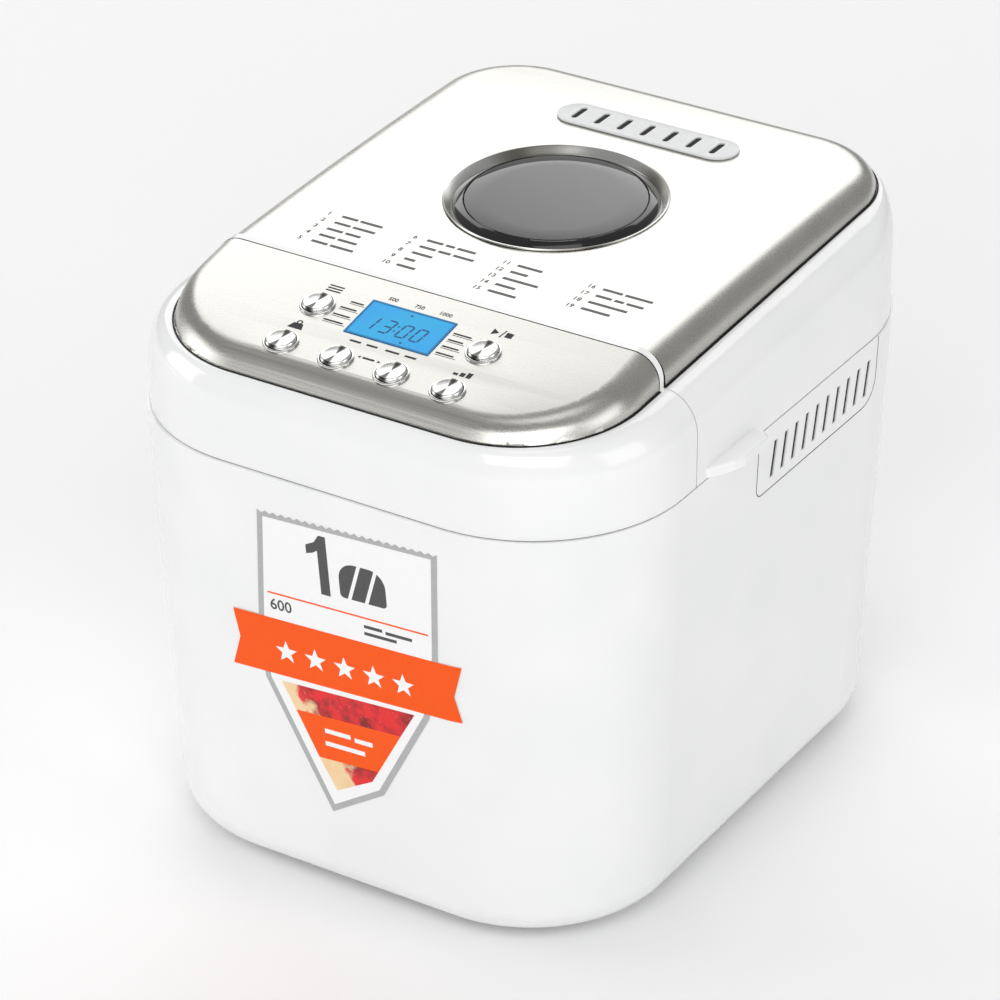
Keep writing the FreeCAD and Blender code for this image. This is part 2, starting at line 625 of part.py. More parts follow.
def deckBlock(name, halfWidth, low, high, front, rear, x="0"):
    # Box square to the deck.
    y, z = onDeck(front, "-(%s)" % low)
    thing = doc.addObject("Part::Box", name)
    bind(thing, "Length", "2 * (%s)" % halfWidth)
    bind(thing, "Width", "(%s) - (%s)" % (rear, front))
    bind(thing, "Height", "(%s) - (%s)" % (high, low))
    return place(thing, "(%s) - (%s)" % (x, halfWidth), y, z, X_AXIS, "deckSlope")


BUTTONS = {
    "button_weight": (-1.5, "frontRow"), "button_time_up": (-0.5, "frontRow"),
    "button_time_down": (0.5, "frontRow"), "button_colour": (1.5, "frontRow"),
    "button_menu": (-1.5, "backRow"), "button_start": (1.5, "backRow"),
}


def housingScrewSpots():
    return [("%d * (bodyWidth / 2 - 24)" % i, "-lidSeam - 24") for i in (-1, 1)] + [
        ("%d * (bodyWidth / 2 - 77)" % i, "-bodyDepth / 2 + 14") for i in (-1, 1)]


def bossHeight(y, low):
    # Height of a screw boss that ends just under the edge of the steel skin.
    return "steelRise + (%s) * tan(steelTilt) - 1 - (%s)" % (y, low)


def controlHousing():
    body = newBody("housingShell")
    low = "waistHeight + seamGap"
    upperSolid(body, "housingOuter", None, FRONT_SEAM, True, False, "0", low)
    inner = "%s - shellWall" % FRONT_SEAM
    upperSolid(body, "housingInner", None, inner, True, False, "shellWall", low + " - 1")
    rib = pillow("housingRib", SKIN_SEAM, FRONT_SEAM, None, None, "0", crowned=False)
    deckTop = "ledgeHeight + plateThick"
    bosses = [cylinder("housingBoss%d" % i, "5", bossHeight(y, deckTop), x, y, deckTop)
              for i, (x, y) in enumerate(housingScrewSpots())]
    posts = []
    for i, side in enumerate((-1, 1)):
        for j, (local, top) in enumerate((("frontRow - 8", "-9"), ("backRow + 15", "-16"))):
            posts.append(deckCylinder("boardPost%d%d" % (i, j), "3", "-boardDepth", top,
                                      "%d * (boardWidth / 2 - 5)" % side, local))
    opening = deckBlock("boardOpening", "boardWidth / 2 - 9", "-30", "-2", "frontRow - 11", "backRow + 12")
    holes = screwHoles("housingBossHole", housingScrewSpots(), deckTop, "12")
    shell = cut("housingCut", body, [opening])
    solid = fuse("housingFuse", [shell, rib] + bosses + posts)
    keep(cut("housingDrilled", solid, holes), "control_housing")


def controlSkin():
    outer = pillow("deckOuter", "-steelFront", SKIN_SEAM, "steelCornerFront", None, "0", crowned=False)
    inner = pillow("deckInner", "-steelFront + steelSheet", SKIN_SEAM + " + 1",
                   "steelCornerFront - steelSheet", None, "steelSheet", crowned=False)
    holes = [deckCylinder("skinHole" + name, "bezelRadius - bezelWall / 2", "-6", "6",
                          "%s * buttonPitch" % x, local) for name, (x, local) in BUTTONS.items()]
    window = deckBlock("skinWindow", "displayWidth / 2", "-6", "6", "displayCentre - displayHeight / 2",
                       "displayCentre + displayHeight / 2")
    keep(cut("controlSkinCut", outer, [inner, window] + holes), "control_panel")


def controls():
    bezels = []
    switches = []
    for name, (column, local) in BUTTONS.items():
        x = "%s * buttonPitch" % column
        y, z = onDeck(local)
        stem = "-boardDepth + switchHeight + buttonTravel + 0.3"
        keep(revolve(name, [("0", stem), ("2.2", stem), ("2.2", "-7"), ("buttonRadius", "-7"),
                            ("buttonRadius", "buttonProud - 0.8"), ("buttonRadius - 0.8", "buttonProud"),
                            ("0", "buttonProud - 0.4")], x, y, z, X_AXIS, "deckSlope"), name)
        inner = "buttonRadius + buttonGap"
        rim = "bezelRadius - bezelWall / 2"
        bezels.append(revolve("bezel_" + name, [
            (inner, "-2.4"), (rim, "-2.4"), (rim, "0"), ("bezelRadius", "0"), ("bezelRadius", "0.6"),
            ("bezelRadius - 0.4", "1"), (inner, "1")], x, y, z, X_AXIS, "deckSlope"))
        switches.append(deckBlock("switch_" + name, "3", "-boardDepth", "-boardDepth + switchHeight",
                                  "%s - 3" % local, "%s + 3" % local, x))
    keep(group("bezels", bezels), "button_bezels")
    board = deckBlock("boardPlate", "boardWidth / 2", "-boardDepth - boardThick", "-boardDepth",
                      "frontRow - 12", "backRow + 19")
    keep(fuse("boardFuse", [board] + switches), "control_board")
    front, rear = "displayCentre - displayHeight / 2", "displayCentre + displayHeight / 2"
    keep(deckBlock("lens", "displayWidth / 2", "-1.6", "0.3", front, rear), "display_lens")
    glass = deckBlock("displayGlass", "displayWidth / 2 + 1", "-9", "-1.6", front + " - 1", rear + " + 1")
    legs = [deckBlock("displayLeg%d" % i, "1", "-boardDepth", "-9", front, rear,
                      "%d * (displayWidth / 2 - 1)" % i) for i in (-1, 1)]
    keep(fuse("displayFuse", [glass] + legs), "display_module")


def topAt(y, inset="0"):
    # Height of the crowned lid over a depth.
    return "lidHeight - lidCrown + sqrt((lidCrown - (%s))^2 - ((%s) - lidPeak)^2)" % (inset, y)


def fingerTab():
    # Tapered lip on the right side of the lid, lifted with a finger.
    body = newBody("fingerTab")
    sketch = newSketch(body, "tabOutline", "XY", "waistHeight + seamGap + 0.4")
    wall = "bodyWidth / 2 - upperInset - shellWall / 2"
    edge = "bodyWidth / 2 + tabReach"
    polygon(sketch, [(wall, "tabFront"), (wall + " + 3", "tabFront + 1"), (edge + " - 1.5", "tabFront + 12"),
                     (edge, "tabFront + 18"), (edge, "tabRear - 2.5"), (edge + " - 2", "tabRear"),
                     (wall, "tabRear")])
    extrude(body, "Pad", sketch, "tabThick")
    top = amount("waistHeight + seamGap + 0.4 + tabThick")
    inside = amount(wall) + 0.1
    roundEdges(body, "tabRound", "1.5",
               lambda e: abs(e.BoundBox.ZMin - top) < 0.05 and e.BoundBox.XMin > inside)
    return body


def lidScrewSpots():
    rows = ("-lidSeam + 26", "bodyDepth / 2 - 58")
    return [("%d * (bodyWidth / 2 - 19)" % i, y) for i in (-1, 1) for y in rows]


def lidShell():
    body = newBody("lidShell")
    low = "waistHeight + seamGap"
    upperSolid(body, "lidOuter", REAR_SEAM, None, False, True, "0", low)
    inner = "%s + shellWall" % REAR_SEAM
    upperSolid(body, "lidInner", inner, None, False, True, "shellWall", low + " - 1")
    bosses = [cylinder("lidBoss%d" % i, "5", bossHeight(y, LINER_TOP), x, y, LINER_TOP)
              for i, (x, y) in enumerate(lidScrewSpots())]
    lugs = [lidLug(side) for side in (-1, 1)]
    solid = fuse("lidFuse", [body, fingerTab()] + bosses + lugs)
    ears = [earSweep(side, end) for side in (-1, 1) for end in (-1, 1)]
    bores = [hingeCylinder("lugBore%d" % side, side, "pinRadius + runFit", "-lugWidth", "lugWidth")
             for side in (-1, 1)]
    window = windowCylinder("shellWindow", "windowBevel + 0.3", "-30", "5")
    vent = ventPrism("shellVent", "-3", "-30", "5")
    holes = screwHoles("lidBossHole", lidScrewSpots(), LINER_TOP, "12")
    keep(cut("lidCut", solid, ears + bores + holes + [window, vent]), "lid_shell")


LINER_TOP = "waistHeight + seamGap + 1 + linerSheet"
WINDOW_TILT = "asin((lidPeak - windowCentre) / lidCrown)"


def windowCylinder(name, radius, low, high):
    y = "windowCentre - (%s) * (lidPeak - windowCentre) / lidCrown" % low
    z = "(%s) + (%s)" % (topAt("windowCentre"), low)
    return cylinder(name, radius, "(%s) - (%s)" % (high, low), "0", y, z, X_AXIS, WINDOW_TILT)


def ventPrism(name, grow, low, high):
    # Pill-shaped block over the steam vent.
    body = newBody(name)
    sketch = newSketch(body, name + "Outline", "XY", "(%s) + (%s)" % (topAt("ventCentreY"), low))
    half, reach = "ventLength / 2 + (%s)" % grow, "ventWidth / 2 + (%s)" % grow
    outline(sketch, half, "-(%s)" % reach, reach, "%s - 0.01" % reach, "%s - 0.01" % reach)
    extrude(body, "Pad", sketch, "(%s) - (%s)" % (high, low))
    return place(body, "ventCentreX", "ventCentreY")


def lidSkin():
    outer = pillow("crownOuter", REAR_SEAM, "steelRear", None, "steelCornerRear", "0", crowned=True)
    inner = pillow("crownInner", REAR_SEAM + " + steelSheet", "steelRear - steelSheet", None,
                   "steelCornerRear - steelSheet", "steelSheet", crowned=True)
    window = windowCylinder("skinWindowHole", "windowHole", "-8", "5")
    vent = ventPrism("skinVentHole", "-1.5", "-8", "5")
    keep(cut("lidSkinCut", outer, [inner, window, vent]), "lid_skin")


def lidWindow():
    at = ("0", "windowCentre", topAt("windowCentre"), X_AXIS, WINDOW_TILT)
    keep(revolve("window_ring", [
        ("windowBevel", "-6"), ("windowHole", "-6"), ("windowHole", "0"), ("windowRing", "0"),
        ("windowRing", "0.35"), ("windowRing - 0.5", "0.7"), ("windowBevel", "-1.8")], *at), "window_ring")
    keep(revolve("window_frame", [
        ("windowGlass - 2", "-18"), ("windowBevel", "-18"), ("windowBevel", "-1.6"),
        ("windowGlass + 0.4", "-0.6"), ("windowGlass", "-0.9"), ("windowGlass", "-4"),
        ("windowGlass - 2", "-4")], *at), "window_frame")
    keep(revolve("window_glass", [
        ("0", "-4"), ("windowGlass", "-4"), ("windowGlass", "-0.6"), ("windowGlass - 1", "0.2"),
        ("0", "0.5")], *at), "window_glass")


def lidVent():
    flange = ventPrism("ventFlange", "0", "0.05", "1.2")
    skirt = ventPrism("ventSkirt", "-1.5", "-6", "0.2")
    hollow = ventPrism("ventHollow", "-2.7", "-7", "-0.6")
    slots = []
    for i in range(-3, 4):
        slots.append(block("ventSlot%d" % i, ("ventCentreX + %d * ventPitch - slotWidth / 2" % i,
                                              "ventCentreX + %d * ventPitch + slotWidth / 2" % i),
                           ("ventCentreY - slotLength / 2", "ventCentreY + slotLength / 2"),
                           ("lidHeight - 10", "lidHeight + 10")))
    solid = fuse("ventFuse", [flange, skirt])
    keep(cut("ventCut", solid, [hollow] + slots), "lid_vent")


def lidLiner():
    # Pressed sheet inside the lid, raised over the baking chamber.
    body = newBody("lidLiner")
    flange = newSketch(body, "linerFlange", "XY", "waistHeight + seamGap + 1")
    gap = "shellWall + 0.1"
    outline(flange, "bodyWidth / 2 - upperInset - (%s)" % gap, "%s + %s" % (REAR_SEAM, gap),
            "upperRear - (%s)" % gap, None, "cornerRadius - (%s)" % gap)
    extrude(body, "Pad", flange, "linerSheet")
    hat = chamberOutline(newSketch(body, "linerHat", "XY", "waistHeight + seamGap + 1"), "linerSheet")
    extrude(body, "Pad", hat, "linerCeiling + linerSheet - waistHeight - seamGap - 1")
    hollow = chamberOutline(newSketch(body, "linerHollow", "XY", "waistHeight"), "0")
    extrude(body, "Pocket", hollow, "linerCeiling - waistHeight", reverse=True)
    light = newSketch(body, "linerLight", "XY", "linerCeiling - 1")
    circle(light, "0", "windowCentre", "windowGlass")
    extrude(body, "Pocket", light, "linerSheet + 2", reverse=True)
    holes = screwHoles("linerScrewHole", lidScrewSpots(), "waistHeight", "5")
    tools = holes + [hingeRelief(side) for side in (-1, 1)]
    keep(cut("linerCut", body, tools), "lid_liner")
    keep(cylinder("innerWindow", "windowGlass + 3", "1.6", "0", "windowCentre", "linerCeiling + linerSheet"),
         "inner_window")


# ---- Hinge ---------------------------------------------------------------------------------------

def hingeCylinder(name, side, radius, low, high):
    # Cylinder on the hinge axis between two places along X, measured from the middle of one hinge.
    return cylinder(name, radius, "(%s) - (%s)" % (high, low), "%d * hingeX + (%s)" % (side, low),
                    "hingeY", "hingeZ", Y_AXIS, "90")


def hingeSpan(side, low, high):
    return ("%d * hingeX + (%s)" % (side, low), "%d * hingeX + (%s)" % (side, high))


EAR_OUT = "lugWidth / 2 + hingeGap + earWidth"


def hingeNotch(side):
    return block("hingeNotch%d" % side, hingeSpan(side, "-(%s)" % EAR_OUT, EAR_OUT),
                 ("bracketFront", "bodyDepth / 2 + 10"), ("bracketLow", "waistHeight + 10"))


def hingeRelief(side):
    # Room in the lid liner for the fixed ears of the hinge.
    return block("hingeRelief%d" % side, hingeSpan(side, "-(%s) - 1" % EAR_OUT, "%s + 1" % EAR_OUT),
                 ("hingeY - knuckleRadius - 4", "bodyDepth / 2 + 10"), ("waistHeight", "waistHeight + 12"))


def earSpan(side, end, grow="0"):
    low = "lugWidth / 2 + hingeGap - (%s)" % grow
    high = "%s + (%s)" % (EAR_OUT, grow)
    if end > 0:
        return low, high
    return "-(%s)" % high, "-(%s)" % low


def earSweep(side, end):
    # Room in the lid's rear wall for one fixed ear.
    low, high = earSpan(side, end, "hingeGap")
    return hingeCylinder("earRoom%d%d" % (side, end), side, "knuckleRadius + 0.6", low, high)


def lidLug(side):
    # Knuckle on the lid, joined to its rear wall.
    low, high = "-lugWidth / 2", "lugWidth / 2"
    knuckle = hingeCylinder("lugKnuckle%d" % side, side, "knuckleRadius", low, high)
    arm = block("lugArm%d" % side, hingeSpan(side, low, high),
                ("upperRear - shellWall", "hingeY + knuckleRadius"), ("hingeZ", "hingeZ + 8"))
    return fuse("lug%d" % side, [knuckle, arm])


def hinge():
    brackets = []
    pins = []
    for side in (-1, 1):
        pieces = [block("bracketPlate%d" % side, hingeSpan(side, "-(%s)" % EAR_OUT, EAR_OUT),
                        ("bracketFront", "bodyDepth / 2 - taperFront / 10"), ("bracketLow", "ledgeHeight"))]
        for end in (-1, 1):
            low, high = earSpan(side, end)
            pieces.append(hingeCylinder("ear%d%d" % (side, end), side, "knuckleRadius", low, high))
            pieces.append(block("earFoot%d%d" % (side, end), hingeSpan(side, low, high),
                                ("hingeY - knuckleRadius + 0.1", "hingeY + knuckleRadius"),
                                ("ledgeHeight - 1", "hingeZ")))
        solid = fuse("bracketFuse%d" % side, pieces)
        bore = hingeCylinder("bracketBore%d" % side, side, "pinRadius", "-20", "20")
        brackets.append(cut("bracketCut%d" % side, solid, [bore]))
        pins.append(hingeCylinder("pin%d" % side, side, "pinRadius", "-(%s)" % EAR_OUT, EAR_OUT))
    keep(group("brackets", brackets), "hinge_brackets")
    keep(group("pins", pins), "hinge_pins")


# ---- Baking chamber ------------------------------------------------------------------------------

def chamberOutline(sketch, grow):
    half = "chamberHalf + (%s)" % grow
    reach = "chamberReach + (%s)" % grow
    corner = "chamberCorner + (%s)" % grow
    return outline(sketch, half, "panCentre - (%s)" % reach, "panCentre + %s" % reach, corner, corner)


def ovenChamber():
    deckTop = "ledgeHeight + plateThick"
    body = newBody("ovenChamber")
    extrude(body, "Pad", chamberOutline(newSketch(body, "chamberOuter", "XY", "chamberFloor"), "chamberWall"),
            deckTop + " + chamberWall - chamberFloor")
    lip = chamberOutline(newSketch(body, "chamberLip", "XY", deckTop), "chamberLip")
    extrude(body, "Pad", lip, "chamberWall")
    hollow = chamberOutline(newSketch(body, "chamberInner", "XY", "chamberFloor + chamberWall"), "0")
    extrude(body, "Pocket", hollow, "waistHeight - chamberFloor", reverse=True)
    bearing = cylinder("chamberBearing", "11", "10", "0", "panCentre", "chamberFloor - 5")
    inside = "panCentre - chamberReach + 10"
    leads = [cylinder("leadHole%d" % i, "elementRadius", "20", "%d * elementLead" % i, inside,
                      "elementHeight", X_AXIS, "90") for i in (-1, 1)]
    sensor = cylinder("sensorHole", "3", "20", "40", inside, "110", X_AXIS, "90")
    holes = screwHoles("chamberHole", legSpots() + bearingSpots(), "chamberFloor - 1", "4")
    keep(cut("chamberCut", body, [bearing, sensor] + leads + holes), "oven_chamber")


def bearingSpots():
    return [("20 * cos(%d)" % angle, "panCentre + 20 * sin(%d)" % angle) for angle in (90, 210, 330)]


def heatingElement():
    # Tubular element round the pan; its two leads pass through the front wall of the chamber.
    body = newBody("heatingElement")
    path = newSketch(body, "elementPath", "XY", "elementHeight")
    front, rear = "panCentre - elementReach", "panCentre + elementReach"
    end = "panCentre - chamberReach - 14"
    corners = [("elementLead", end), ("elementLead", front), ("elementSide", front),
               ("elementSide", rear), ("-elementSide", rear), ("-elementSide", front),
               ("-elementLead", front), ("-elementLead", end)]
    radii = [None, "8", "elementCorner", "elementCorner", "elementCorner", "elementCorner", "8", None]
    squarePath(path, corners, radii, closed=False)
    ring = newSketch(body, "elementSection", "XZ", "-(%s)" % end)
    circle(ring, "elementLead", "elementHeight", "elementRadius")
    pipe = body.newObject("PartDesign::AdditivePipe", "elementPipe")
    pipe.Profile = ring
    pipe.Spine = path
    doc.recompute()
    keep(body, "heating_element")


def chamberFittings():
    clips = []
    for i, side in enumerate((-1, 1)):
        near, far = "elementSide + elementRadius", "chamberHalf"
        for j, y in enumerate((-40, 40)):
            span = (near, far) if side > 0 else ("-(%s)" % far, "-(%s)" % near)
            reach = ("panCentre + %d" % (y - 4), "panCentre + %d" % (y + 4))
            clips.append(block("clip%d%d" % (i, j), span, reach,
                               ("elementHeight - 3", "elementHeight + 3")))
    keep(group("clips", clips), "element_clips")
    keep(revolve("temperature_sensor", [
        ("0", "0"), ("3", "0"), ("3", "9 + chamberWall"), ("7", "9 + chamberWall"), ("7", "12"),
        ("3.5", "12"), ("3.5", "18"), ("0", "18")],
        "40", "panCentre - chamberReach + 9", "110", X_AXIS, "90"), "temperature_sensor")
    inner = "skirtRadius + socketGap"
    flange = inner + " + 8.4"
    floor = "chamberFloor + chamberWall"
    keep(revolve("pan_socket", [
        ("30", floor), (flange, floor), (flange, floor + " + 1.5"), (inner + " + 2", floor + " + 1.5"),
        (inner + " + 2", "socketTop"), (inner, "socketTop"), (inner, floor + " + 1.5"),
        ("30", floor + " + 1.5")], "0", "panCentre"), "pan_socket")
    bore = "shaftRadius + runFit"
    body = revolve("bearingTurn", [
        (bore, "chamberFloor - 11"), ("11", "chamberFloor - 11"), ("11", "chamberFloor - 3"),
        ("26", "chamberFloor - 3"), ("26", "chamberFloor"), ("11", "chamberFloor"),
        ("11", "couplingLow - 0.5"), (bore, "couplingLow - 0.5")], "0", "panCentre")
    holes = screwHoles("bearingHole", bearingSpots(), "chamberFloor - 5", "6")
    keep(cut("bearingCut", body, holes), "bearing_housing")


# ---- Pan and kneader -----------------------------------------------------------------------------

def panOutline(body, name, height, inset):
    # Section of the tapered pan at a height, moved inwards by an inset.
    draw = "(panTaper * (panTop - (%s)) / (panTop - panFloor) + %s)" % (height, inset)
    side = "panHalf - %s" % draw
    reach = "panReach - %s" % draw
    corner = "panCorner - (%s)" % inset
    sketch = newSketch(body, name, "XY", height)
    return outline(sketch, side, "-(%s)" % reach, reach, corner, corner)


def innerPanOutline(body, name, height, inset):
    return panOutline(body, name, height, "%s + panWall" % inset)


def breadPan():
    body = newBody("breadPan")
    dish(body, "AdditiveLoft", panOutline, "panOuter", "panFloor", "panTop", "panRound")
    extrude(body, "Pad", panOutline(body, "panRim", "panTop - panRim", "-panRim"), "panRim")
    dish(body, "SubtractiveLoft", innerPanOutline, "panInner", "panFloor + panBottom", "panTop + 0.5",
         "panRound - panWall")
    hole = circle(newSketch(body, "panHole", "XY", "panFloor - 1"), "0", "0", "bushRadius")
    extrude(body, "Pocket", hole, "4", reverse=True)
    keep(place(body, "0", "panCentre"), "bread_pan")


def panParts():
    flange = "skirtRadius + 12.8"
    keep(revolve("pan_base", [
        ("bushRadius", "panFloor - 2"), ("skirtRadius - skirtWall", "panFloor - 2"),
        ("skirtRadius - skirtWall", "skirtLow"), ("skirtRadius", "skirtLow"),
        ("skirtRadius", "panFloor - 2"), (flange, "panFloor - 2"), (flange, "panFloor"),
        ("bushRadius", "panFloor")], "0", "panCentre"), "pan_base")
    bore = "shaftRadius + runFit"
    keep(revolve("pan_bushing", [
        (bore, "panFloor - 3"), ("bushRadius", "panFloor - 3"), ("bushRadius", "panFloor + 1.5"),
        ("12", "panFloor + 1.5"), ("12", "panFloor + 3"), ("bushRadius", "panFloor + 4"),
        (bore, "panFloor + 4")], "0", "panCentre"), "pan_bushing")
    ears = []
    side = "panHalf + panRim"
    for i in (-1, 1):
        span = (side, side + " + 1.5") if i > 0 else ("-(%s) - 1.5" % side, "-(%s)" % side)
        plate = block("earPlate%d" % i, span, ("panCentre - 7", "panCentre + 7"),
                      ("panTop - 8", "bailHeight + 6"))
        bore = cylinder("earBore%d" % i, "bailRadius + runFit", "20", "%d * (%s) - 10" % (i, side),
                        "panCentre", "bailHeight", Y_AXIS, "90")
        ears.append(cut("earPlateCut%d" % i, plate, [bore]))
    keep(group("ears", ears), "bail_ears")
    bail()


def bail():
    # Wire handle, folded down to the rear of the pan's rim.
    body = newBody("bailWire")
    path = newSketch(body, "bailPath", "XY", "bailHeight")
    side = "panHalf + 2"
    rear = "panCentre + bailReach"
    corners = [(side, "panCentre"), ("bailSide", "panCentre"), ("bailSide", rear), ("-bailSide", rear),
               ("-bailSide", "panCentre"), ("-(%s)" % side, "panCentre")]
    squarePath(path, corners, [None, "3", "14", "14", "3", None], closed=False)
    section = newSketch(body, "bailSection", "YZ", side)
    circle(section, "panCentre", "bailHeight", "bailRadius")
    pipe = body.newObject("PartDesign::AdditivePipe", "bailPipe")
    pipe.Profile = section
    pipe.Spine = path
    doc.recompute()
    keep(body, "bail_handle")


def dShape(name, radius, flat, low, high):
    # Round bar with one flat, as on the end of the pan shaft.
    bar = cylinder(name + "Bar", radius, "(%s) - (%s)" % (high, low), "0", "panCentre", low)
    slab = block(name + "Slab", (flat, "shaftRadius + 4"), ("panCentre - 10", "panCentre + 10"), (low, high))
    return cut(name, bar, [slab])


def couplings():
    discLow = "couplingLow"
    discHigh = "couplingLow + couplingThick"
    dogs = "couplingLow + couplingThick + dogHeight"
    lower = revolve("lowerDisc", [("shaftRadius", discLow), ("couplingRadius", discLow),
                                  ("couplingRadius", discHigh), ("shaftRadius", discHigh)], "0", "panCentre")
    lugs = [block("lowerDog%d" % i, ("%d" % (5.5 if i > 0 else -12), "%d" % (12 if i > 0 else -5.5)),
                  ("panCentre - 3.5", "panCentre + 3.5"), (discHigh + " - 1", dogs)) for i in (-1, 1)]
    keep(fuse("lowerFuse", [lower] + lugs), "drive_coupling")
    upperLow = dogs + " + couplingGap"
    upperHigh = upperLow + " + couplingThick"
    upper = revolve("upperDisc", [
        ("shaftRadius", upperLow), ("couplingRadius", upperLow), ("couplingRadius", upperHigh),
        ("shaftRadius", upperHigh)], "0", "panCentre")
    lugs = [block("upperDog%d" % i, ("-3.5", "3.5"),
                  ("panCentre + %s" % (5.5 if i > 0 else -12), "panCentre + %s" % (12 if i > 0 else -5.5)),
                  (discHigh + " + couplingGap", upperLow + " + 1")) for i in (-1, 1)]
    keep(fuse("upperFuse", [upper] + lugs), "pan_coupling")
    keep(cylinder("driveShaft", "shaftRadius", "couplingLow + couplingThick - 14", "0", "panCentre", "14"),
         "drive_shaft")
    low = cylinder("panShaftLow", "shaftRadius", "panFloor + 4 - (%s)" % upperLow, "0", "panCentre", upperLow)
    top = dShape("panShaftTop", "shaftRadius", "shaftRadius - 1", "panFloor + 4",
                 "panFloor + 5 + paddleHeight")
    keep(fuse("panShaftFuse", [low, top]), "pan_shaft")


def kneadingPaddle():
    low = "panFloor + 4 + paddleGap"
    high = "panFloor + 4 + paddleGap + paddleHeight"
    hub = cylinder("paddleHub", "9", "paddleHeight", "0", "panCentre", low)
    body = newBody("paddleBlade")
    sketch = newSketch(body, "bladeOutline", "XZ", "-panCentre - paddleThick / 2")
    polygon(sketch, [("0", low), ("paddleReach - 6", low), ("paddleReach", low + " + 4"),
                     ("paddleReach - 4", high + " + 6"), ("paddleReach - 14", high + " + 8"),
                     ("6", high + " - 4"), ("0", high + " - 4")])
    extrude(body, "Pad", sketch, "paddleThick")
    roundEdges(body, "bladeRound", "1.5", lambda e: e.BoundBox.YLength > 4)
    bore = dShape("paddleBore", "shaftRadius + runFit", "shaftRadius - 1 + runFit", low + " - 1",
                  high + " + 1")
    keep(cut("paddleCut", fuse("paddleFuse", [hub, body]), [bore]), "kneading_paddle")


# ---- Drive ---------------------------------------------------------------------------------------

def pulley(name, radius, bore, hub, y):
    # Flat-belt pulley with a rim flange on each side of the belt.
    low, high = "pulleyLow", "pulleyLow + pulleyThick"
    rim = "%s - 5" % radius
    middleLow, middleHigh = "pulleyLow + pulleyThick / 2 - 1.5", "pulleyLow + pulleyThick / 2 + 1.5"
    edge = "%s + flangeRise" % radius
    if amount(rim) < amount(hub) + 2:
        profile = [(bore, low), (edge, low), (edge, low + " + flangeThick"),
                   (radius, low + " + flangeThick"), (radius, high + " - flangeThick"),
                   (edge, high + " - flangeThick"), (edge, high), (bore, high)]
    else:
        profile = [(bore, low), (hub, low), (hub, middleLow), (rim, middleLow), (rim, low), (edge, low),
                   (edge, low + " + flangeThick"), (radius, low + " + flangeThick"),
                   (radius, high + " - flangeThick"), (edge, high + " - flangeThick"), (edge, high),
                   (rim, high), (rim, middleHigh), (hub, middleHigh), (hub, high), (bore, high)]
    return revolve(name + "Turn", profile, "0", y)


def drive():
    large = pulley("drive_pulley", "pulleyRadius", "shaftRadius", "9", "panCentre")
    holes = [cylinder("pulleyHole%d" % i, "8", "40", "24 * cos(%d)" % (72 * i),
                      "panCentre + 24 * sin(%d)" % (72 * i), "0") for i in range(5)]
    keep(cut("pulleyCut", large, holes), "drive_pulley")
    keep(pulley("motor_pulley", "motorPulley", "motorShaft", "6", "motorY"), "motor_pulley")
    keep(cylinder("motorShaft", "motorShaft", "motorLow + 12 - pulleyLow + 2", "0", "motorY",
                  "pulleyLow - 2"), "motor_shaft")
    driveBelt()
    bore = "motorShaft + runFit"
    keep(revolve("motor", [
        (bore, "motorLow"), ("14", "motorLow"), ("14", "motorLow + 3"), ("motorRadius - 6", "motorLow + 3"),
        ("motorRadius - 6", "motorLow + 14"), ("motorRadius", "motorLow + 14"),
        ("motorRadius", "motorTop - 24"), ("motorRadius - 6", "motorTop - 24"),
        ("motorRadius - 6", "motorTop - 8"), ("10", "motorTop - 8"), ("10", "motorTop"), ("0", "motorTop"),
        ("0", "motorLow + 13"), (bore, "motorLow + 13")], "0", "motorY"), "motor")
    motorBracket()


def driveBelt():
    # Belt loop: two arcs round the pulleys and two straight runs tangent to both.
    body = newBody("driveBelt")
    sketch = newSketch(body, "beltOutline", "XY", "pulleyLow + flangeThick + 0.5")
    near, far = amount("panCentre"), amount("motorY")
    for grow in ("beltGap", "beltGap + beltThick"):
        large, small = amount("pulleyRadius + " + grow), amount("motorPulley + " + grow)
        lean = math.asin((large - small) / (near - far))
        right = FreeCAD.Vector(math.cos(lean), -math.sin(lean), 0)
        left = FreeCAD.Vector(-right.x, right.y, 0)
        ends = [FreeCAD.Vector(0, near, 0) + side * large for side in (right, left)]
        tails = [FreeCAD.Vector(0, far, 0) + side * small for side in (right, left)]
        top = Part.Circle(FreeCAD.Vector(0, near, 0), Z_AXIS, large)
        low = Part.Circle(FreeCAD.Vector(0, far, 0), Z_AXIS, small)
        over = sketch.addGeometry(Part.ArcOfCircle(top, -lean, math.pi + lean))
        under = sketch.addGeometry(Part.ArcOfCircle(low, math.pi + lean, 2 * math.pi - lean))
        runs = [sketch.addGeometry(Part.LineSegment(a, b)) for a, b in zip(ends, tails)]
        for arc, end, run, tip in ((over, 1, runs[0], 1), (over, 2, runs[1], 1),
                                   (under, 2, runs[0], 2), (under, 1, runs[1], 2)):
            sketch.addConstraint(Sketcher.Constraint("Tangent", arc, end, run, tip))
        fixPoint(sketch, over, 3, "0", "panCentre")
        fixPoint(sketch, under, 3, "0", "motorY")
        size(sketch, "Radius", over, "pulleyRadius + " + grow)
        size(sketch, "Radius", under, "motorPulley + " + grow)
    extrude(body, "Pad", sketch, "pulleyThick - 2 * flangeThick - 1")
    keep(body, "drive_belt")


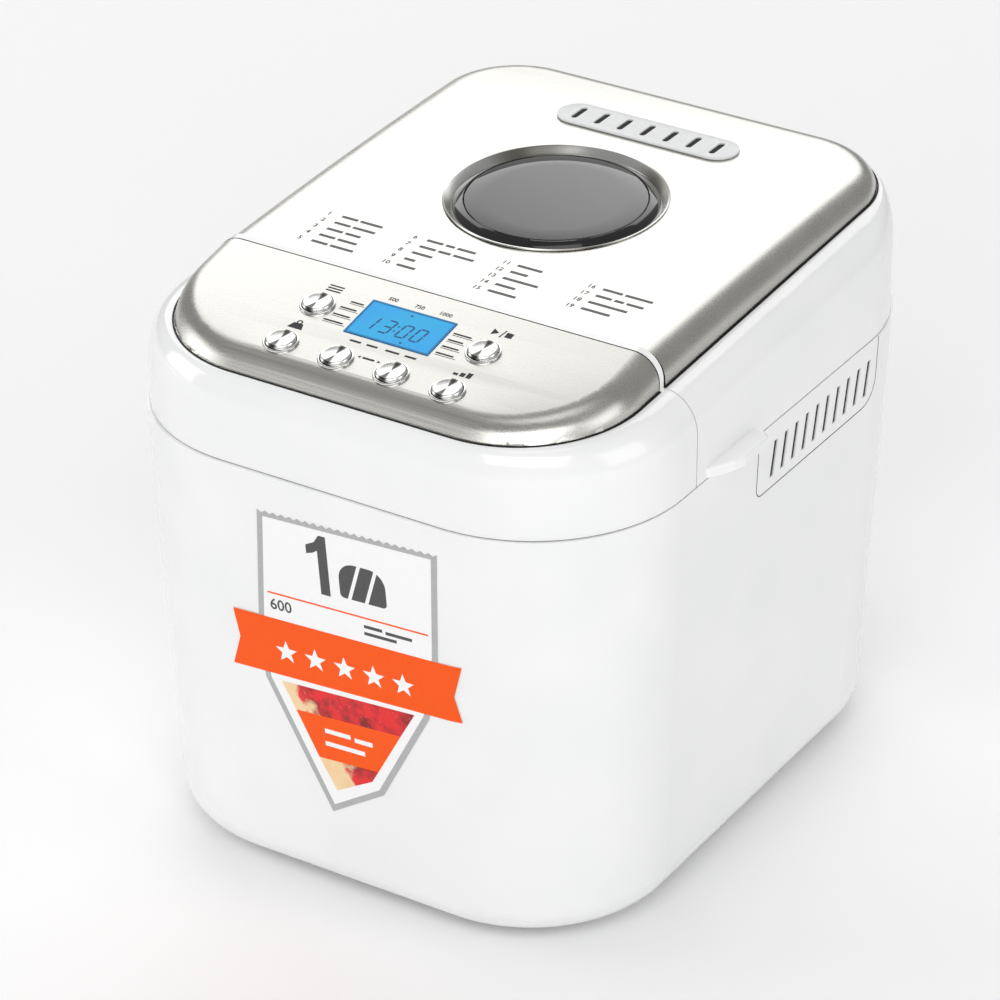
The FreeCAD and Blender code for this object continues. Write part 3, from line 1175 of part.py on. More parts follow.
def motorBracket():
    # Folded steel bridge that carries the motor over the belt.
    floor = "footHeight + shellWall + plateThick"
    span = "motorRadius + 12"
    top = block("bridgeTop", ("-(%s)" % span, span), ("motorY - motorRadius + 2", "motorY + motorRadius - 2"),
                ("motorLow", "motorLow + 3"))
    legs = []
    for i in (-1, 1):
        low, high = (span + " - 2", span) if i > 0 else ("-(%s)" % span, "-(%s) + 2" % span)
        legs.append(block("bridgeLeg%d" % i, (low, high), ("motorY - 24", "motorY + 24"),
                          (floor, "motorLow + 3")))
    seat = cylinder("bridgeSeat", "14", "10", "0", "motorY", "motorLow - 1")
    keep(cut("bridgeCut", fuse("bridgeFuse", [top] + legs), [seat]), "motor_bracket")


def electrics():
    floor = "footHeight + shellWall + plateThick"
    seat = floor + " + 8"
    top = seat + " + boardThick - 0.6"
    board = block("powerPlate", ("powerLeft", "powerRight"), ("powerFront", "powerRear"),
                  (seat, seat + " + boardThick"))
    posts = [cylinder("powerPost%d%d" % (i, j), "2.5", "8", x, y, floor)
             for i, x in enumerate(("powerLeft + 6", "powerRight - 6"))
             for j, y in enumerate(("powerFront + 8", "powerRear - 8"))]
    parts = [block("transformer", ("powerLeft + 4", "powerLeft + 26"), ("powerFront + 6", "powerFront + 36"),
                   (top, top + " + 22")),
             block("relay", ("powerRight - 14", "powerRight - 2"), ("powerRear - 24", "powerRear - 8"),
                   (top, top + " + 16")),
             cylinder("bulk", "6", "18", "powerRight - 8", "powerFront + 14", top)]
    keep(fuse("powerFuse", [board] + posts + parts), "power_board")
    can = floor + " + capacitorHeight"
    keep(revolve("motor_capacitor", [
        ("0", floor), ("capacitorRadius", floor), ("capacitorRadius", can + " - 2"),
        ("capacitorRadius - 1.5", can), ("0", can)], "capacitorX", "capacitorY"), "motor_capacitor")


def screw(name, x, y, seat, up, length):
    # Pan-head screw. up is 1 where the head is below and the shank points up.
    head = [("0", "0"), ("headRadius - 0.6", "0"), ("headRadius", "0.6"), ("headRadius", "headHeight"),
            ("screwRadius", "headHeight"), ("screwRadius", "headHeight + %s" % length),
            ("0", "headHeight + %s" % length)]
    z = "(%s) - headHeight" % seat if up > 0 else "(%s) + headHeight" % seat
    return revolve(name, head, x, y, z, X_AXIS, "0" if up > 0 else "180")


def screws():
    chamberSeat = "chamberFloor + chamberWall"
    rows = [(baseScrewSpots(), "footHeight", 1, 10), (housingScrewSpots(), "ledgeHeight", 1, 12),
            (legSpots(), chamberSeat, -1, 10), (bearingSpots(), chamberSeat, -1, 4)]
    made = []
    for i, (spots, seat, up, length) in enumerate(rows):
        made += [screw("screw%d_%d" % (i, j), x, y, seat, up, length) for j, (x, y) in enumerate(spots)]
    keep(group("caseScrews", made), "case_screws")
    lid = [screw("lidScrew%d" % j, x, y, "waistHeight + seamGap + 1", 1, 10)
           for j, (x, y) in enumerate(lidScrewSpots())]
    keep(group("lidScrews", lid), "lid_screws")


def cordGland():
    # Bush where the mains lead would enter, square to the sloping rear wall.
    share = "((waistHeight - glandHeight) / (waistHeight - footHeight))"
    lean = "atan(taperFront / (waistHeight - footHeight))"
    wall = "bodyDepth / 2 - taperFront * %s" % share
    keep(revolve("cord_gland", [
        ("glandBore", "-4"), ("glandRadius + 2", "-4"), ("glandRadius + 2", "0"), ("glandRadius", "0"),
        ("glandRadius", "shellWall"), ("glandRadius + 2.5", "shellWall"),
        ("glandRadius + 2.5", "shellWall + 2.5"), ("glandBore", "shellWall + 2.5")],
        "glandX", wall, "glandHeight", X_AXIS, "90 deg - %s" % lean), "cord_gland")


# ---- Build and export ----------------------------------------------------------------------------

bodyShell()
basePlate()
feet()
sideVents()
frontLabel()
topDeck()
controlHousing()
controlSkin()
controls()
lidShell()
lidSkin()
lidWindow()
lidVent()
lidLiner()
hinge()
ovenChamber()
heatingElement()
chamberFittings()
breadPan()
panParts()
couplings()
kneadingPaddle()
drive()
electrics()
screws()
cordGland()
doc.recompute()

faults = [thing.Label for thing in doc.Objects if {"Invalid", "Error"} & set(thing.State)]
faults += [thing.Label + " has no valid shape" for thing in nodes
           if thing.Shape.isNull() or not thing.Shape.isValid() or not thing.Shape.Solids]
cuts = [thing for thing in doc.Objects if thing.TypeId in ("PartDesign::Pocket", "PartDesign::Groove")]
faults += [thing.Label + " cuts nothing" for thing in cuts
           if thing.isValid() and thing.Shape.Volume > thing.BaseFeature.Shape.Volume - 0.1]
if faults:
    raise RuntimeError("Not built: " + ", ".join(faults))

os.makedirs("parts", exist_ok=True)
for thing in nodes:
    thing.Shape.exportStep("parts/%s.step" % thing.Label)
    print("%-20s %2d solid(s) %10.1f mm3" % (thing.Label, len(thing.Shape.Solids), thing.Shape.Volume))
print(len(nodes), "nodes")
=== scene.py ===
# Bread machine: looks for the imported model.
import json
import math

import bmesh
import bpy
from mathutils import Matrix, Vector
from mathutils.bvhtree import BVHTree


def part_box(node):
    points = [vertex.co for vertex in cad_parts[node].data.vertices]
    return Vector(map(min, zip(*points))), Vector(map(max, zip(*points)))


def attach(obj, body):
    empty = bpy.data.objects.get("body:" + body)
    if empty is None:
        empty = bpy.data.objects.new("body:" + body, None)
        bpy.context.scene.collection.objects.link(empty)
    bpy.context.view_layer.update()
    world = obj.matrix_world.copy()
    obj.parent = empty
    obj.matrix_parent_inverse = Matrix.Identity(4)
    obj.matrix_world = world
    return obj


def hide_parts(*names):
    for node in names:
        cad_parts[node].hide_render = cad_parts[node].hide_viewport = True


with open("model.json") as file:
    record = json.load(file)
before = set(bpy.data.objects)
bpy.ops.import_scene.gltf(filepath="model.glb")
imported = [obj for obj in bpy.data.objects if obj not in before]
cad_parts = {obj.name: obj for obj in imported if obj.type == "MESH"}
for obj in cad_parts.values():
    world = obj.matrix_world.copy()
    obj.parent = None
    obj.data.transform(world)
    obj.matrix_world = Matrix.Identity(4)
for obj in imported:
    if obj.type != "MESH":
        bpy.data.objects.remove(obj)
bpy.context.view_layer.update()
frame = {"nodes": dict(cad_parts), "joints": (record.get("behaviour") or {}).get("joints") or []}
mm = 0.001


# Camera, light and floor

cameraView = {
    "place": (936.6, -1519.2, 1147.3),  # mm
    "aim": (-13.86, 0.0, 124.88),
    "lens": 168.3,
    "sensor": 36.0,
    "roll": -0.16,  # degrees
}

softboxes = [  # place and aim in metres, size in metres, radiance in W/m2/sr
    {"name": "behind", "place": (-1.1, 1.75, 1.7), "aim": (0, 0, 0.25), "size": (2.8, 1.7), "radiance": 1.7},
    {"name": "overhead", "place": (0.1, -0.1, 2.4), "aim": (0, 0, 0.2), "size": (0.9, 0.7), "radiance": 1.2},
    {"name": "frontHigh", "place": (0.9, -1.8, 1.7), "aim": (0, 0, 0.1), "size": (2.2, 1.5), "radiance": 2.9},
    {"name": "left", "place": (-2.2, -0.9, 0.8), "aim": (0, 0, 0.15), "size": (1.3, 1.5), "radiance": 2.2},
    {"name": "right", "place": (2.4, 0.1, 1.1), "aim": (0, 0, 0.1), "size": (1.3, 1.5), "radiance": 1.5},
]
surroundLight = 0.36


def lookFrom(holder, place, aim, roll=0.0):
    turn = (aim - place).to_track_quat("-Z", "Y").to_matrix().to_4x4()
    holder.matrix_world = Matrix.Translation(place) @ turn @ Matrix.Rotation(math.radians(roll), 4, "Z")
    bpy.context.scene.collection.objects.link(holder)


def addCamera(view):
    camera = bpy.data.objects.new("camera", bpy.data.cameras.new("camera"))
    lookFrom(camera, Vector(view["place"]) * mm, Vector(view["aim"]) * mm, view["roll"])
    camera.data.lens = view["lens"]
    camera.data.sensor_width = view["sensor"]
    bpy.context.scene.camera = camera


def addSoftbox(box):
    lamp = bpy.data.lights.new(box["name"], "AREA")
    lamp.shape = "RECTANGLE"
    lamp.size, lamp.size_y = box["size"]
    lamp.energy = box["radiance"] * math.pi * lamp.size * lamp.size_y
    lookFrom(bpy.data.objects.new(box["name"], lamp), Vector(box["place"]), Vector(box["aim"]))


addCamera(cameraView)
for softbox in softboxes:
    addSoftbox(softbox)
surround = bpy.data.worlds.new("surround")
surround.use_nodes = True
surround.node_tree.nodes["Background"].inputs["Color"].default_value = (1, 1, 1, 1)
surround.node_tree.nodes["Background"].inputs["Strength"].default_value = surroundLight
bpy.context.scene.world = surround
bpy.context.scene.view_settings.view_transform = "Standard"
print("camera and light done")


# Materials

def toLinear(hexCode):
    channels = [int(hexCode[i:i + 2], 16) / 255 for i in (0, 2, 4)]
    return [c / 12.92 if c <= 0.04045 else ((c + 0.055) / 1.055) ** 2.4 for c in channels] + [1.0]


def addNode(material, kind, settings={}, links={}, output=0):
    tree = material.node_tree
    node = tree.nodes.new("ShaderNode" + kind)
    for name, value in settings.items():
        if isinstance(name, int) or name in node.inputs:
            node.inputs[name].default_value = value
        else:
            setattr(node, name, value)
    for name, source in links.items():
        tree.links.new(source, node.inputs[name])
    return node.outputs[output]


def evenNoise(material, place, size, detail):
    # Noise with features of one size in mm.
    return addNode(material, "TexNoise", {"Scale": 1 / (size * mm), "Detail": detail}, {"Vector": place})


def stretchedNoise(material, place, sizes, detail):
    # Noise with features of the given sizes in mm along x, y and z.
    sized = addNode(material, "Mapping", {"Scale": [1 / (size * mm) for size in sizes]}, {"Vector": place})
    return addNode(material, "TexNoise", {"Scale": 1.0, "Detail": detail}, {"Vector": sized})


def ranged(material, value, start=(0, 1), end=(0, 1), kind="LINEAR"):
    return addNode(material, "MapRange", {"From Min": start[0], "From Max": start[1], "To Min": end[0],
                                          "To Max": end[1], "interpolation_type": kind}, {"Value": value})


def mixed(material, factor, first, second):
    # Two colours, each a hex code or another node's output.
    ends = {6: first, 7: second}
    fixed = {end: toLinear(value) for end, value in ends.items() if isinstance(value, str)}
    linked = {end: value for end, value in ends.items() if not isinstance(value, str)}
    return addNode(material, "Mix", {"data_type": "RGBA", **fixed}, {0: factor, **linked}, output=2)


def newMaterial(name, values):
    material = bpy.data.materials.new(name)
    material.use_nodes = True
    shader = material.node_tree.nodes["Principled BSDF"]
    for socket, value in values.items():
        shader.inputs[socket].default_value = value
    return material, shader


def wire(material, shader, links):
    for socket, source in links.items():
        material.node_tree.links.new(source, shader.inputs[socket])


# Each finish: two colours that mix in a grain of a real size (mm along x, y, z), roughness range, bump (mm)
finishes = {
    # Gloss ABS from a polished mould: even white, reflections that waver very slightly
    "white_plastic": {
        "name": "moulded_gloss_abs", "colours": ("F7F7F7", "F2F3F3"), "roughness": (0.10, 0.15),
        "grain": (45, 45, 45), "detail": 1, "bump": 0.03, "shader": {"IOR": 1.53, "Coat Weight": 0.25},
    },
    # Matt ABS of the steam vent, slightly greyer than the case
    "vent_plastic": {
        "name": "moulded_matt_abs", "colours": ("E4E5E5", "DDDEDF"), "roughness": (0.3, 0.4),
        "grain": (1.5, 1.5, 1.5), "detail": 3, "bump": 0.03, "shader": {"IOR": 1.53},
    },
    # Satin polypropylene with a spark-eroded grain of about 1 mm
    "base_plastic": {
        "name": "moulded_satin_polypropylene", "colours": ("D9DADB", "CDCECF"), "roughness": (0.42, 0.55),
        "grain": (1.0, 1.0, 1.0), "detail": 3, "bump": 0.05, "shader": {"IOR": 1.49},
    },
    # Nitrile rubber: dull, with a faint bloom in 3 mm clouds
    "rubber": {
        "name": "moulded_nitrile_rubber", "colours": ("1B1B1C", "2B2B2D"), "roughness": (0.65, 0.85),
        "grain": (3, 3, 3), "detail": 4, "bump": 0.06, "shader": {"IOR": 1.52},
    },
    # Gloss black ABS round the window: deep black, sharp reflections
    "black_plastic": {
        "name": "moulded_black_abs", "colours": ("050505", "0A0A0B"), "roughness": (0.07, 0.12),
        "grain": (20, 20, 20), "detail": 1, "bump": 0.01, "shader": {"IOR": 1.53, "Coat Weight": 0.4},
    },
    # Satin chrome on moulded rings: bright, slightly milky
    "bezel_silver": {
        "name": "satin_chrome_plate", "colours": ("EDEDEC", "DCDDDC"), "roughness": (0.16, 0.24),
        "grain": (6, 6, 6), "detail": 2, "bump": 0.01, "shader": {"Metallic": 1.0},
    },
    # Dark ABS tray of the display
    "display_body": {
        "name": "moulded_tray_abs", "colours": ("2A2C30", "33353A"), "roughness": (0.4, 0.5),
        "grain": (2, 2, 2), "detail": 3, "bump": 0.03, "shader": {"IOR": 1.53},
    },
    # Solder mask over glass-epoxy board: green lacquer with the weave just showing
    "circuit_board": {
        "name": "solder_mask_board", "colours": ("14502E", "1E6A3E"), "roughness": (0.25, 0.4),
        "grain": (1.2, 6, 1.2), "detail": 2, "bump": 0.03, "shader": {"IOR": 1.55, "Coat Weight": 0.5},
    },
    # Aluminised steel sheet of the oven: soft mottled silver in 5 mm patches
    "chamber_steel": {
        "name": "rolled_aluminised_steel", "colours": ("BDBDB9", "A3A39F"), "roughness": (0.28, 0.42),
        "grain": (5, 5, 9), "detail": 4, "bump": 0.02, "shader": {"Metallic": 1.0},
    },
    # Zinc plate on steel: cool grey with 7 mm spangles
    "zinc_steel": {
        "name": "zinc_plated_steel", "colours": ("C3C6C9", "A9ADB2"), "roughness": (0.22, 0.36),
        "grain": (7, 7, 7), "detail": 3, "bump": 0.01, "shader": {"Metallic": 1.0},
    },
    # Oxidised sheath of the element: dark brown-grey scale in 4 mm patches
    "element_sheath": {
        "name": "oxidised_incoloy_sheath", "colours": ("57504A", "2F2B29"), "roughness": (0.4, 0.6),
        "grain": (4, 4, 4), "detail": 5, "bump": 0.04, "shader": {"Metallic": 0.8},
    },
    # Die-cast aluminium: dull silver with a 1 mm cast skin
    "cast_aluminium": {
        "name": "cast_aluminium", "colours": ("B2B3B1", "939492"), "roughness": (0.36, 0.52),
        "grain": (1.2, 1.2, 1.2), "detail": 4, "bump": 0.05, "shader": {"Metallic": 1.0},
    },
    # Sprayed non-stick on the pan and paddle: charcoal with light flecks about 1 mm apart
    "pan_coating": {
        "name": "sprayed_ptfe_coating", "colours": ("242527", "45474A"), "roughness": (0.3, 0.46),
        "grain": (0.9, 0.9, 0.9), "detail": 2, "bump": 0.03, "shader": {"IOR": 1.38, "Coat Weight": 0.15},
    },
    # Drawn stainless wire: bright, with fine marks along it
    "bail_wire": {
        "name": "drawn_stainless_wire", "colours": ("CDCDCB", "B5B5B2"), "roughness": (0.16, 0.28),
        "grain": (8, 1.2, 1.2), "detail": 3, "bump": 0.01, "shader": {"Metallic": 1.0},
    },
    # Painted steel of the motor can: grey enamel with slight orange peel, 2 mm
    "motor_body": {
        "name": "sprayed_grey_enamel", "colours": ("6B6E73", "5C5F64"), "roughness": (0.3, 0.42),
        "grain": (2, 2, 2), "detail": 2, "bump": 0.03, "shader": {"IOR": 1.5, "Coat Weight": 0.3},
    },
}


def makeFinish(values):
    material, shader = newMaterial(values["name"], values["shader"])
    place = addNode(material, "TexCoord", output="Object")
    grain = stretchedNoise(material, place, values["grain"], values["detail"])
    spread = ranged(material, grain, (0.3, 0.7))
    colour = mixed(material, spread, *values["colours"])
    rough = ranged(material, spread, end=values["roughness"])
    relief = addNode(material, "Bump", {"Strength": 0.5, "Distance": values["bump"] * mm}, {"Height": grain})
    wire(material, shader, {"Base Color": colour, "Roughness": rough, "Normal": relief})
    return material


# Brushed 430 stainless: lines along X, about 0.3 mm apart, drawn 0.6 mm apart so that they show
brush = {
    "line": (90, 0.6, 0.6), "band": (180, 14, 14), "bandShare": 0.35, "streak": (0.45, 0.9),
    "colours": ("C6C4BF", "D2D1CC"), "roughness": (0.25, 0.32), "depth": 0.02,
}


def makeBrushedSteel():
    material, shader = newMaterial("brushed_stainless_sheet", {"Metallic": 1.0, "Anisotropic": 0.75})
    place = addNode(material, "TexCoord", output="Object")
    fine = stretchedNoise(material, place, brush["line"], 4.0)
    broad = stretchedNoise(material, place, brush["band"], 1.0)
    both = addNode(material, "Math", {"operation": "MULTIPLY_ADD", 1: brush["bandShare"]},
                   {0: broad, 2: fine})
    streak = ranged(material, both, brush["streak"])
    colour = mixed(material, streak, *brush["colours"])
    rough = ranged(material, streak, end=brush["roughness"])
    relief = addNode(material, "Bump", {"Strength": 0.07, "Distance": brush["depth"] * mm}, {"Height": fine})
    along = addNode(material, "CombineXYZ", {"X": 1.0})
    wire(material, shader, {"Base Color": colour, "Roughness": rough, "Normal": relief, "Tangent": along})
    return material


# Spun metal: fine rings about the piece's own centre, with painted highlight and painted shade in wedges
# round it, as many as it has waves.
# The UV map holds the place on the piece, -1 to 1 over its radius.
spun = {"roughness": 0.24, "rings": 12, "depth": 0.02, "shadeWedgeTop": 0.98}


def makeSpunMetal(name, shadeWedgeAngle, waves, litWedgeColour, dark, spread):
    material, shader = newMaterial(name, {"Metallic": 1.0, "Roughness": spun["roughness"]})
    place = addNode(material, "UVMap", {"uv_map": "cap"})
    across, up = addNode(material, "SeparateXYZ", {}, {0: place}).node.outputs[:2]
    angle = addNode(material, "Math", {"operation": "ARCTAN2"}, {0: up, 1: across})
    turned = addNode(material, "Math", {"operation": "SUBTRACT", 1: math.radians(shadeWedgeAngle)}, {0: angle})
    swing = addNode(material, "Math", {"operation": "COSINE"},
                    {0: addNode(material, "Math", {"operation": "MULTIPLY", 1: waves}, {0: turned})})
    # Painted highlight and shade: the base colour darkens in wedges round the centre, as turned rings would
    # reflect the light
    paintedWedgeShade = ranged(material, swing, (spread, spun["shadeWedgeTop"]), kind="SMOOTHSTEP")
    colour = mixed(material, paintedWedgeShade, litWedgeColour, dark)
    reach = addNode(material, "VectorMath", {"operation": "LENGTH"}, {0: place}, output="Value")
    ringAngle = addNode(material, "Math", {"operation": "MULTIPLY", 1: 2 * math.pi * spun["rings"]},
                        {0: reach})
    rings = addNode(material, "Math", {"operation": "SINE"}, {0: ringAngle})
    relief = addNode(material, "Bump", {"Strength": 0.12, "Distance": spun["depth"] * mm}, {"Height": rings})
    wire(material, shader, {"Base Color": colour, "Normal": relief})
    return material


# Smoked tempered glass: a mirror-smooth face over a dark grey tint, with a painted reflection that lightens
# it towards the back right
def makeSmokedGlass():
    material, shader = newMaterial("smoked_tempered_glass", {
        "Transmission Weight": 0.2, "IOR": 1.5, "Coat Weight": 0.1, "Coat Roughness": 0.02})
    place = addNode(material, "TexCoord", output="Object")
    haze = evenNoise(material, place, 30, 1.0)
    # Painted reflection: the grey ramps lighter across the glass towards the back right, with slight random
    # haze
    along = addNode(material, "VectorMath", {"operation": "DOT_PRODUCT", 1: (0.45, 0.9, 0)}, {0: place},
                    output="Value")
    paintedReflectionAndHaze = addNode(material, "Math", {"operation": "MULTIPLY_ADD", 1: 0.012}, {0: haze, 2: along})
    colour = mixed(material, ranged(material, paintedReflectionAndHaze, (-0.012, 0.062)), "161616", "5A5A5A")
    wire(material, shader, {"Base Color": colour, "Roughness": ranged(material, haze, end=(0.03, 0.06))})
    return material


# Backlit liquid crystal behind clear acrylic: cyan that varies softly in patches about 28 mm across
def makeBacklight():
    material, shader = newMaterial("backlit_display_acrylic", {
        "Roughness": 0.12, "IOR": 1.49, "Specular IOR Level": 0.2, "Coat Weight": 0.1,
        "Emission Strength": 0.25})
    place = addNode(material, "TexCoord", output="Object")
    colour = mixed(material, evenNoise(material, place, 28, 0.0), "008CD8", "00A2CC")
    wire(material, shader, {"Base Color": colour, "Emission Color": colour})
    return material


# Inks and films: two close colours in the slight mottle of screen print, 1.5 mm, and a roughness; shadow_gap
# is no ink but painted shade for gaps and hollows
inks = {
    "ink_grey": ("5A5A5A", "505050", 0.5),
    "ink_dark": ("2E2F33", "26272B", 0.5),
    "ink_mid": ("5E5E60", "565658", 0.45),
    "ink_blue": ("0B4C86", "0A4278", 0.35),
    "frame_blue": ("0A78B4", "0870A8", 0.3),
    "film_white": ("FCFCFC", "F7F7F7", 0.4),
    "film_edge": ("BDBDBF", "ABABAD", 0.45),
    "film_orange": ("FF5C00", "FA5600", 0.45),
    # Painted shade: near-black for the shadow in gaps, seams, slots and hollows
    "shadow_gap": ("0C0C0C", "141414", 0.6),
}


def makeInk(name):
    light, dark, roughness = inks[name]
    material, shader = newMaterial("printed_" + name, {"Roughness": roughness, "Specular IOR Level": 0.25})
    place = addNode(material, "TexCoord", output="Object")
    mottle = evenNoise(material, place, 1.5, 2.0)
    wire(material, shader, {"Base Color": mixed(material, mottle, light, dark)})
    return material


# Printed picture of bread and jam: crumb on the left, glossy berries on the right, 2 mm seeds and glints
def makeJamPrint():
    material, shader = newMaterial("printed_bread_and_jam", {"Roughness": 0.3})
    place = addNode(material, "TexCoord", output="Object")
    across, _, up = addNode(material, "SeparateXYZ", {}, {0: place}).node.outputs
    lumps = evenNoise(material, place, 7, 4.0)
    seeds = addNode(material, "TexVoronoi", {"Scale": 1 / (2.2 * mm)}, {"Vector": place})
    slope = addNode(material, "Math", {"operation": "MULTIPLY_ADD", 1: 0.7}, {0: up, 2: across})
    edge = addNode(material, "Math", {"operation": "MULTIPLY_ADD", 1: 0.03}, {0: lumps, 2: slope})
    jam = ranged(material, edge, (0.066, 0.071))
    crumb = mixed(material, lumps, "F3C07C", "FBE9C8")
    berry = mixed(material, ranged(material, lumps, (0.35, 0.62)), "7E0408", "E8161C")
    wet = mixed(material, ranged(material, seeds, (0.14, 0.02)), berry, "FF8A80")
    wire(material, shader, {"Base Color": mixed(material, jam, crumb, wet)})
    return material


finish = {name: makeFinish(values) for name, values in finishes.items()}
finish["brushed_steel"] = makeBrushedSteel()
# Button caps and window ring: spun metal with painted highlight and painted shade wedges
finish["button_metal"] = makeSpunMetal("spun_aluminium_cap", 84, 2.0, "EDEDEB", "55534F", 0.64)
finish["spun_steel"] = makeSpunMetal("spun_stainless_ring", 45, 4.0, "CFCFCC", "7A7872", -0.6)
finish["smoked_glass"] = makeSmokedGlass()
finish["display_blue"] = makeBacklight()
finish.update({name: makeInk(name) for name in inks})
finish["label_print"] = finish["film_white"]
finish["jam_print"] = makeJamPrint()

for node in frame["nodes"].values():
    for holder in node.material_slots:
        holder.material = finish[holder.material.name.split(".")[0]]
print("materials done")


# Shapes. Each is drawn in millimetres and brought to metres when its piece is made.

def sheet(outline, height=0.0):
    shape = bmesh.new()
    shape.faces.new([shape.verts.new((x, y, height)) for x, y in outline])
    return shape


def box(left, right, front, rear):
    return [(left, front), (right, front), (right, rear), (left, rear)]


def raised(shape, height):
    # Pulls every face up, which closes the shape.
    risen = bmesh.ops.extrude_face_region(shape, geom=shape.faces[:])["geom"]
    top = [part for part in risen if isinstance(part, bmesh.types.BMVert)]
    bmesh.ops.translate(shape, verts=top, vec=(0, 0, height))
    return shape


def rounded(shape, corners, radius, segments):
    bmesh.ops.bevel(shape, geom=corners, offset=radius, segments=segments, affect="VERTICES", profile=0.5,
                    material=-1)
    return shape


def sliced(shape, place, direction, **cleared):
    bmesh.ops.bisect_plane(shape, geom=shape.verts[:] + shape.edges[:] + shape.faces[:], plane_co=place,
                           plane_no=direction, **cleared)


def largest(shape):
    return max(shape.faces, key=lambda face: face.calc_area())


def inset(shape, face, width, depth=0.0):
    bmesh.ops.inset_region(shape, faces=[face], thickness=width, depth=depth, use_even_offset=True,
                           use_boundary=True)


def plate(outline, low, high):
    return raised(sheet(outline, low), high - low)


def rectangle(left, right, front, rear, low, high):
    return plate(box(left, right, front, rear), low, high)


def turned(profile, steps=96, closed=False):
    shape = bmesh.new()
    corners = [shape.verts.new((radius, 0, height)) for radius, height in profile]
    pairs = list(zip(corners, corners[1:])) + ([(corners[-1], corners[0])] if closed else [])
    edges = [shape.edges.new(pair) for pair in pairs]
    bmesh.ops.spin(shape, geom=corners + edges, cent=(0, 0, 0), axis=(0, 0, 1), angle=2 * math.pi,
                   steps=steps, use_merge=True)
    bmesh.ops.remove_doubles(shape, verts=shape.verts, dist=0.001)
    return shape


def moved(shape, matrix):
    bmesh.ops.transform(shape, matrix=matrix, verts=shape.verts)
    return shape


def shifted(shape, x=0.0, y=0.0, z=0.0):
    return moved(shape, Matrix.Translation((x, y, z)))


def painted(shape, index):
    for face in shape.faces:
        face.material_index = index
    return shape


def joined(shapes):
    whole = bmesh.new()
    for shape in shapes:
        step = bpy.data.meshes.new("step")
        shape.to_mesh(step)
        shape.free()
        whole.from_mesh(step)
        bpy.data.meshes.remove(step)
    return whole


def softened(shape, width, segments=3, above=30):
    bmesh.ops.recalc_face_normals(shape, faces=shape.faces)
    sharp = [e for e in shape.edges if len(e.link_faces) == 2 and e.calc_face_angle() > math.radians(above)]
    bmesh.ops.bevel(shape, geom=sharp, offset=width, segments=segments, affect="EDGES", profile=0.5,
                    material=-1, clamp_overlap=True)
    return shape


def lettering(words, height):
    curve = bpy.data.curves.new("words", "FONT")
    curve.body = words
    curve.size = height
    curve.extrude = 0.03
    curve.offset = height * 0.012
    curve.resolution_u = 3
    holder = bpy.data.objects.new("words", curve)
    bpy.context.scene.collection.objects.link(holder)
    bpy.context.view_layer.update()
    mesh = bpy.data.meshes.new_from_object(holder.evaluated_get(bpy.context.evaluated_depsgraph_get()))
    shape = bmesh.new()
    shape.from_mesh(mesh)
    bpy.data.objects.remove(holder)
    bpy.data.curves.remove(curve)
    bpy.data.meshes.remove(mesh)
    return painted(shape, 0)


def newPiece(name, shape, materials, body, replaced=(), sharp=32):
    bmesh.ops.remove_doubles(shape, verts=shape.verts, dist=0.0005)
    bmesh.ops.recalc_face_normals(shape, faces=shape.faces)
    bmesh.ops.scale(shape, vec=(mm, mm, mm), verts=shape.verts)
    mesh = bpy.data.meshes.new(name)
    shape.to_mesh(mesh)
    shape.free()
    for materialName in materials:
        mesh.materials.append(finish[materialName])
    piece = bpy.data.objects.new(name, mesh)
    bpy.context.scene.collection.objects.link(piece)
    smoothPiece(piece, sharp)
    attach(piece, body)
    if replaced:
        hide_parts(*replaced)
    return piece


def smoothPiece(piece, sharp=32):
    piece.data.shade_smooth()
    piece.data.set_sharp_from_angle(angle=math.radians(sharp))


def cutAway(piece, cutters, operation="DIFFERENCE"):
    # Takes closed shapes, drawn in millimetres, out of a piece, or adds them to it.
    tool = joined(cutters)
    bmesh.ops.recalc_face_normals(tool, faces=tool.faces)
    bmesh.ops.scale(tool, vec=(mm, mm, mm), verts=tool.verts)
    mesh = bpy.data.meshes.new("cutter")
    tool.to_mesh(mesh)
    tool.free()
    cutter = bpy.data.objects.new("cutter", mesh)
    bpy.context.scene.collection.objects.link(cutter)
    hole = piece.modifiers.new("holes", "BOOLEAN")
    hole.operation = operation
    hole.solver = "EXACT"
    hole.object = cutter
    bpy.context.view_layer.update()
    finished = bpy.data.meshes.new_from_object(piece.evaluated_get(bpy.context.evaluated_depsgraph_get()))
    piece.modifiers.clear()
    piece.data = finished
    bpy.data.objects.remove(cutter)
    smoothPiece(piece)


# Steel skins over the control housing and the lid

skins = {
    "half": 108.5, "front": -144.3, "rear": 142.8, "cornerFront": 54.6, "cornerRear": 40,
    "roll": 12, "rollSteps": 10, "sheet": 0.8, "lidSeam": -69.6, "deckSeam": -73.6,
    "edgeHeight": 251.4, "edgeTilt": 3, "bead": 0.7, "beadGap": 0.1,
    "beadHeight": 0.45, "lidFront": -110, "deckRear": -30,
}
crown = {"height": 268.2, "peak": 120, "radius": 3250}
windowSpot = (0, 24)
ventSpot = {"centre": (2, 98), "length": 90, "width": 20, "pitch": 11.67, "slot": (3, 12), "slots": 7}


def edgeHeight(y):
    return skins["edgeHeight"] + y * math.tan(math.radians(skins["edgeTilt"]))


def lidHeight(y):
    return crown["height"] - crown["radius"] + math.sqrt(crown["radius"] ** 2 - (y - crown["peak"]) ** 2)


